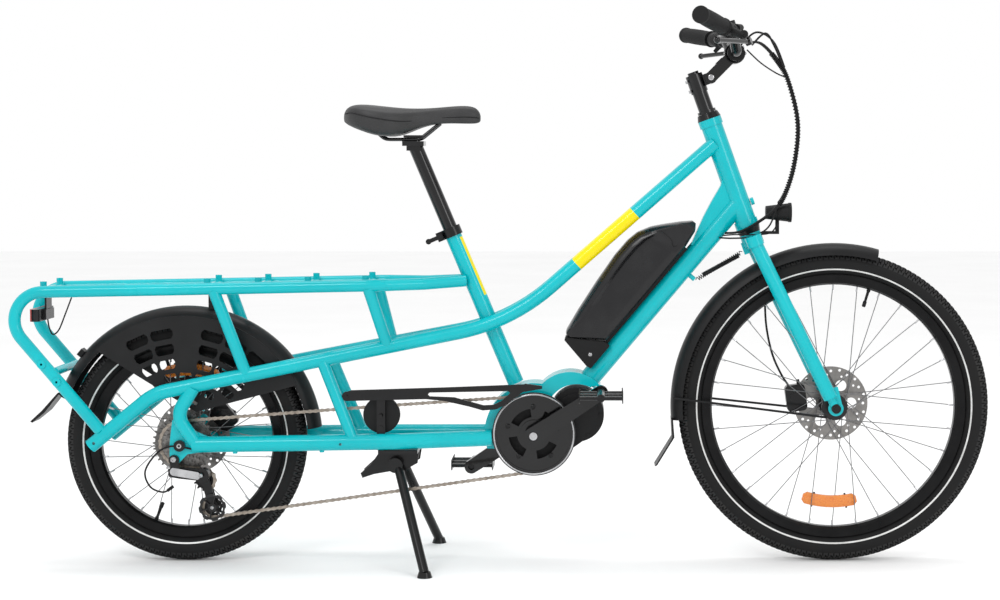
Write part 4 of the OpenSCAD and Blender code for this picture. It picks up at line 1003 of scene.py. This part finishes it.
def chainring_details():
    """The bright ring on the guard's rim, the chainring bolts and the crank bolts."""
    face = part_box("chainring")[0][1]
    trim_r = half("chainring").x - 0.0042
    bolt_circle = 0.058
    b = Build()
    b.tube([about(BB, trim_r, TAU * k / 96, face + 0.0002) for k in range(96)], 0.0019, 8,
           closed=True)
    b.done("guard_ring_trim", STEEL, "cranks")
    c = Build()
    for k in range(5):
        c.bolt(about(BB, bolt_circle, math.radians(72 * k + 20), face + 0.001), (0, -1, 0),
               0.0052, 0.002)
    c.done("chainring_bolts", BLACK_METAL, "cranks")
    d = Build()
    arm_lo, arm_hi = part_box("crank_arms")
    d.bolt(Vector((BB.x, arm_lo[1] + 0.0004, BB.z)), (0, -1, 0), 0.0085, 0.0016)
    d.bolt(Vector((BB.x, arm_hi[1] - 0.0004, BB.z)), (0, 1, 0), 0.0085, 0.0016)
    d.done("crank_bolts", STEEL, "cranks")


chainring_details()


def pedal(node):
    """A cage pedal: two toothed side plates, three bars, reflector arms and a spindle."""
    c = centre(node)
    h = half(node)
    at = Vector(JOINTS[node]["pos_m"])
    out = 1 if c.y > 0 else -1
    x, z = h.x - 0.001, min(h.z, 0.012)
    y0 = at.y + out * 0.013
    y1 = c.y + out * (h.y - 0.002)
    b = Build()
    steps, valley = 14, 0.72
    for s in (-1, 1):
        outline = []
        for side, order in ((1, range(steps + 1)), (-1, range(steps, -1, -1))):
            for k in order:
                outline.append((y0 + (y1 - y0) * k / steps,
                                at.z + side * z * (1.0 if k % 2 else valley)))
        xs = at.x + s * x
        b.grid([[Vector((xs - s * w, yy, zz)) for yy, zz in outline] for w in (0.0, 0.0022)])
    for y in (y0 + out * 0.003, (y0 + y1) / 2, y1 - out * 0.003):
        b.tube([Vector((at.x - x + 0.001, y, at.z)), Vector((at.x + x - 0.001, y, at.z))],
               0.0048, 10)
    b.tube([Vector((at.x, y0 - out * 0.004, at.z)), Vector((at.x, y1, at.z))],
           [0.0098, 0.0085], 14)
    for sx in (-1, 1):
        for y in (y0 + (y1 - y0) * 0.28, y0 + (y1 - y0) * 0.72):
            b.tube([Vector((at.x + sx * 0.012, y, at.z)), Vector((at.x + sx * x, y, at.z))],
                   0.0028, 8)
    b.tube([Vector((at.x, at.y + out * 0.002, at.z)), Vector((at.x, y0, at.z))], 0.0062, 12)
    obj = b.done(node + "_cage", BLACK_METAL, node)
    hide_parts(node)


pedal("pedal_left")
pedal("pedal_right")

# ---------- derailleur ----------


def pulley_guard():
    """The round notched guard outside the tension pulley, with its spokes and bolt."""
    y, thick = -0.0595, 0.002
    outer_r, notch_r, inner_r = 0.0292, 0.0268, 0.0225
    teeth, steps = 8, 64
    outer, inner = [], []
    for k in range(steps):
        a = TAU * k / steps
        outer.append((outer_r if k % teeth <= 4 else notch_r, a))
        inner.append((inner_r, a))
    rows = [[about(TENSION, radius, a, yy) for radius, a in ring]
            for yy, ring in ((y, outer), (y - thick, outer), (y - thick, inner), (y, inner))]
    b = Build()
    b.grid(rows, closed_v=True)
    for k in range(6):
        a = TAU * k / 6 + 0.3
        b.tube([about(TENSION, 0.008, a, y - 0.001), about(TENSION, 0.0235, a, y - 0.001)],
               0.0019, 8)
    b.lathe(Vector((TENSION.x, y, TENSION.z)), (0, -1, 0),
            [(-0.001, 0.009), (0.002, 0.009), (0.003, 0.006)], 18)
    b.done("pulley_guard", BLACK_GLOSS, "cage")
    bolts = Build()
    bolts.bolt(Vector((TENSION.x, y - 0.003, TENSION.z)), (0, -1, 0), 0.004)
    bolts.done("pulley_bolts", STEEL, "cage")


def derailleur_details():
    """The parallelogram's bright link, bolts, the gear cable's loop and the axle's ends."""
    link = Build()
    body_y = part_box("derailleur_body")[0][1]
    rear_pin, front_pin, link_r = mm(-697, 0, 204), mm(-650, 0, 195), 0.0085
    link.grid([[about(rear_pin if math.cos(TAU * k / 24) < 0 else front_pin, link_r,
                      TAU * k / 24, body_y + 0.0005 - w) for k in range(24)]
               for w in (0.0, 0.0022)])
    link.done("derailleur_link", STEEL, "frame")
    small = Build()
    for x, z, r in ((-697.5, 230, 6.5), (-709, 214, 3.0), (-640, 196, 4.5)):
        small.bolt(mm(x, body_y / MM - 1.6, z), (0, -1, 0), r * MM)
    small.done("derailleur_bolts", STEEL, "frame")
    cable = Build()
    cable.tube(smooth_path([mm(-650, -84, 250), mm(-700, -86, 258), mm(-732, -86, 244),
                            mm(-758, -85, 205), mm(-748, -84, 172), mm(-722, -82, 160),
                            mm(-704, -80, 168)], 8), 0.002, 8)
    cable.tube([mm(-712, -81, 163), mm(-700, -80, 172)], 0.0036, 10)
    cable.done("gear_cable_loop", RUBBER, "frame")
    screws = Build()
    axle_lo, axle_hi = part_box("rear_axle")
    for y, s in ((axle_lo[1], -1), (axle_hi[1], 1)):
        screws.bolt(Vector((REAR_AXLE.x, y - s * 0.0005, REAR_AXLE.z)), (0, s, 0), 0.0052, 0.001)
    screws.done("rear_axle_ends", STEEL, "frame")


pulley_guard()
derailleur_details()

# ---------- hoses and cables ----------


def cords(name, body, lines):
    """Smooth thin cords, each a radius and its listed points."""
    b = Build()
    for radius, pts in lines:
        b.tube(smooth_path(pts, 8), radius, 8)
    return b.done(name, RUBBER, body)


def hoses():
    """The hoses and thin cables that hang outside the frame."""
    cords("front_brake_hose", "steering", [
        (0.0024, [hp(-6, 398, 34), mm(566, 44, 610), mm(562, 47, 560), mm(565, 47, 500),
                  mm(578, 47, 440), mm(598, 46, 395), mm(616, 46, 368)])])
    cords("tail_lamp_cable", "frame", [
        (0.0016, [mm(-936, 10, 566), mm(-950, 12, 531), mm(-965, 14, 496),
                  mm(-978, 14, 486), mm(-985, 12, 500), mm(-988, 10, 520)])])
    cords("bar_cables", "steering", [
        (0.0022, [hp(132, 786, -72), hp(168, 800, -60), hp(180, 770, -30), hp(185, 720, -10)]),
        (0.0022, [hp(118, 796, 60), hp(160, 812, 40), hp(186, 780, 14), hp(189, 720, 4)]),
        (0.0016, [hp(120, 780, -60), hp(140, 745, -40), hp(165, 715, -16), hp(182, 700, -4)])])
    obj = cords("head_cables", None, [
        (0.0018, [hp(74, 448, -26), hp(40, 412, -40), hp(0, 404, -42), hp(-40, 414, -34),
                  hp(-66, 424, -18)]),
        (0.0015, [hp(66, 414, -6), hp(40, 398, -34), hp(0, 408, -40), hp(-34, 420, -34),
                  hp(-58, 426, -20)])])
    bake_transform(obj)


hoses()

# ---------- lamps, stand springs, stem bolts ----------


LAMP = hp(70, 432)


def lamp_lens():
    """The headlight's lens and the seam round its housing."""
    at = Vector((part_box("headlight")[1][0] - 0.0012, LAMP.y, LAMP.z))
    b = Build()
    b.lathe(at, (1, 0, 0), [(-0.004, 0.0165), (0, 0.018), (0.0005, 0.0175), (0.0006, 0.012),
                            (0.0006, 0.0)], 28)
    b.done("headlight_lens", LENS_MAT, "steering")
    seam_r = 17.5
    c = Build()
    c.tube([LAMP + Vector((0.0005, 0, 0)) + mm(0, seam_r * math.cos(t), seam_r * math.sin(t))
            for t in [TAU * k / 40 for k in range(40)]], 0.0009, 6, closed=True)
    c.done("headlight_seam", PLASTIC, "steering")


lamp_lens()


def stand_springs():
    """A coil spring beside each leg of the stand."""
    pivot = Vector(JOINTS["kickstand"]["pos_m"])
    b = Build()
    for s in (-1, 1):
        a = pivot + mm(6, s * 40, -4)
        e = pivot + mm(26, s * 74, -72)
        path = [a.lerp(e, k / 12) for k in range(13)]
        b.tube(helix(path, 0.0062, 17, 10), 0.0011, 6)
    b.done("stand_springs", BLACK_METAL, "kickstand")


stand_springs()


def stem_bolts():
    """The pivot bolt, the clamp bolts behind the steerer and the bar clamp's bolts."""
    b = Build()
    for s in (-1, 1):
        b.bolt(hp(32, 752, s * 22.6), (0, s, 0), 0.0062, 0.0016)
    for t in (738, 760):
        for y in (9, -9):
            b.bolt(hp(-19, t, y), -HEAD_X, 0.0034)
    b.done("stem_bolts", STEEL, "steering")
    c = Build()
    for s in (-1, 1):
        for t in (790, 776):
            c.bolt(hp(118, t, s * 14), HEAD_X, 0.0034)
    c.done("bar_clamp_bolts", STEEL, "stem")


stem_bolts()


def steering_spring():
    """A close-wound coil over the stabiliser spring."""
    lo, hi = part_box("stabiliser_spring")
    y = (lo[1] + hi[1]) / 2
    a, e = Vector((lo[0] + 0.016, y, lo[2] + 0.012)), Vector((hi[0] - 0.008, y, hi[2] - 0.010))
    path = [a.lerp(e, k / 10) for k in range(11)]
    b = Build()
    b.tube(helix(path, 0.0040, 30, 10), 0.0014, 6)
    b.done("steering_spring_coil", BLACK_METAL, "steering")


steering_spring()


def idler_bolt():
    """The bolt at the middle of the idler pulley."""
    c = centre("idler_pulley")
    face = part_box("idler_pulley")[0][1]
    b = Build()
    b.bolt(Vector((c.x, face - 0.0002, c.z)), (0, -1, 0), 0.0050, 0.0012)
    b.done("idler_bolt", STEEL, "frame")


idler_bolt()

# ---------- bar controls ----------


def pod(b, at, axis, radius, length, ribs=0):
    """A rounded barrel round the bar."""
    axis = Vector(axis).normalized()
    prof = [(-length / 2, radius * 0.62), (-length / 2 + 0.002, radius * 0.9),
            (-length / 2 + 0.005, radius)]
    for k in range(ribs):
        t = -length / 2 + 0.006 + (length - 0.012) * (k + 0.5) / ribs
        prof += [(t - 0.0008, radius), (t, radius * 0.95), (t + 0.0008, radius)]
    prof += [(length / 2 - 0.005, radius), (length / 2 - 0.002, radius * 0.9),
             (length / 2, radius * 0.62)]
    b.lathe(Vector(at), axis, prof, 24)


def bar_details():
    """Shifter and lever pods inside the grips, their thumb levers and buttons."""
    pods, buttons = Build(), Build()
    shifter, clamp = -0.018, -0.040
    for s in (-1, 1):
        _, inner, way = grip_line(s)
        at = inner + way * shifter
        pod(pods, at, way, 0.0165, 0.024, 3)
        pod(pods, inner + way * clamp, way, 0.0150, 0.014)
        pods.tube([at + mm(4, 0, -12), at + mm(-8, s * 4, -26)], [0.006, 0.0042], 10)
        pods.tube([inner + way * clamp + mm(8, 0, 8), inner + way * -0.060 + mm(10, 0, 12)],
                  [0.0085, 0.0075], 14)
        for k in (-1, 0, 1):
            buttons.bolt(at + way * 0.006 * k + mm(-4, 0, 15.2), (0, 0, 1), 0.0026, 0.001)
    pods.done("bar_pods", PLASTIC, "stem")
    buttons.done("bar_buttons", BLACK_GLOSS, "stem")


bar_details()

# ---------- floor, light ----------

floor_mesh = bpy.data.meshes.new("floor")
S = 14.0
floor_mesh.from_pydata([(-S, -S, 0), (S, -S, 0), (S, S, 0), (-S, S, 0)], [], [(0, 1, 2, 3)])
floor = bpy.data.objects.new("floor", floor_mesh)
bpy.context.scene.collection.objects.link(floor)
n = Nodes("floor_white")
n.set(Base_Color=n.ramp(n.noise(1.5), [(0.3, (0.93, 0.93, 0.93)), (0.7, (0.96, 0.96, 0.96))]),
      Roughness=0.9)
floor_mesh.materials.append(n.mat)

world = bpy.data.worlds.new("world")
bpy.context.scene.world = world
world.use_nodes = True
world.node_tree.nodes["Background"].inputs["Color"].default_value = (1, 1, 1, 1)
world.node_tree.nodes["Background"].inputs["Strength"].default_value = 1.0


def area(name, at, target, size, power):
    """A soft rectangular lamp aimed at a point."""
    light = bpy.data.lights.new(name, "AREA")
    light.shape = "RECTANGLE"
    light.size, light.size_y = size
    light.energy = power
    obj = bpy.data.objects.new(name, light)
    obj.location = at
    obj.rotation_euler = (Vector(target) - Vector(at)).to_track_quat("-Z", "Y").to_euler()
    bpy.context.scene.collection.objects.link(obj)


area("key", (-1.6, -3.2, 3.4), (0, 0, 0.5), (1.6, 0.9), 46)
area("fill", (2.6, -3.0, 1.8), (0, 0, 0.5), (1.2, 1.2), 20)
area("top", (0.0, 0.4, 4.0), (0, 0, 0.4), (3.2, 0.8), 40)

bpy.context.scene.view_settings.view_transform = "Standard"
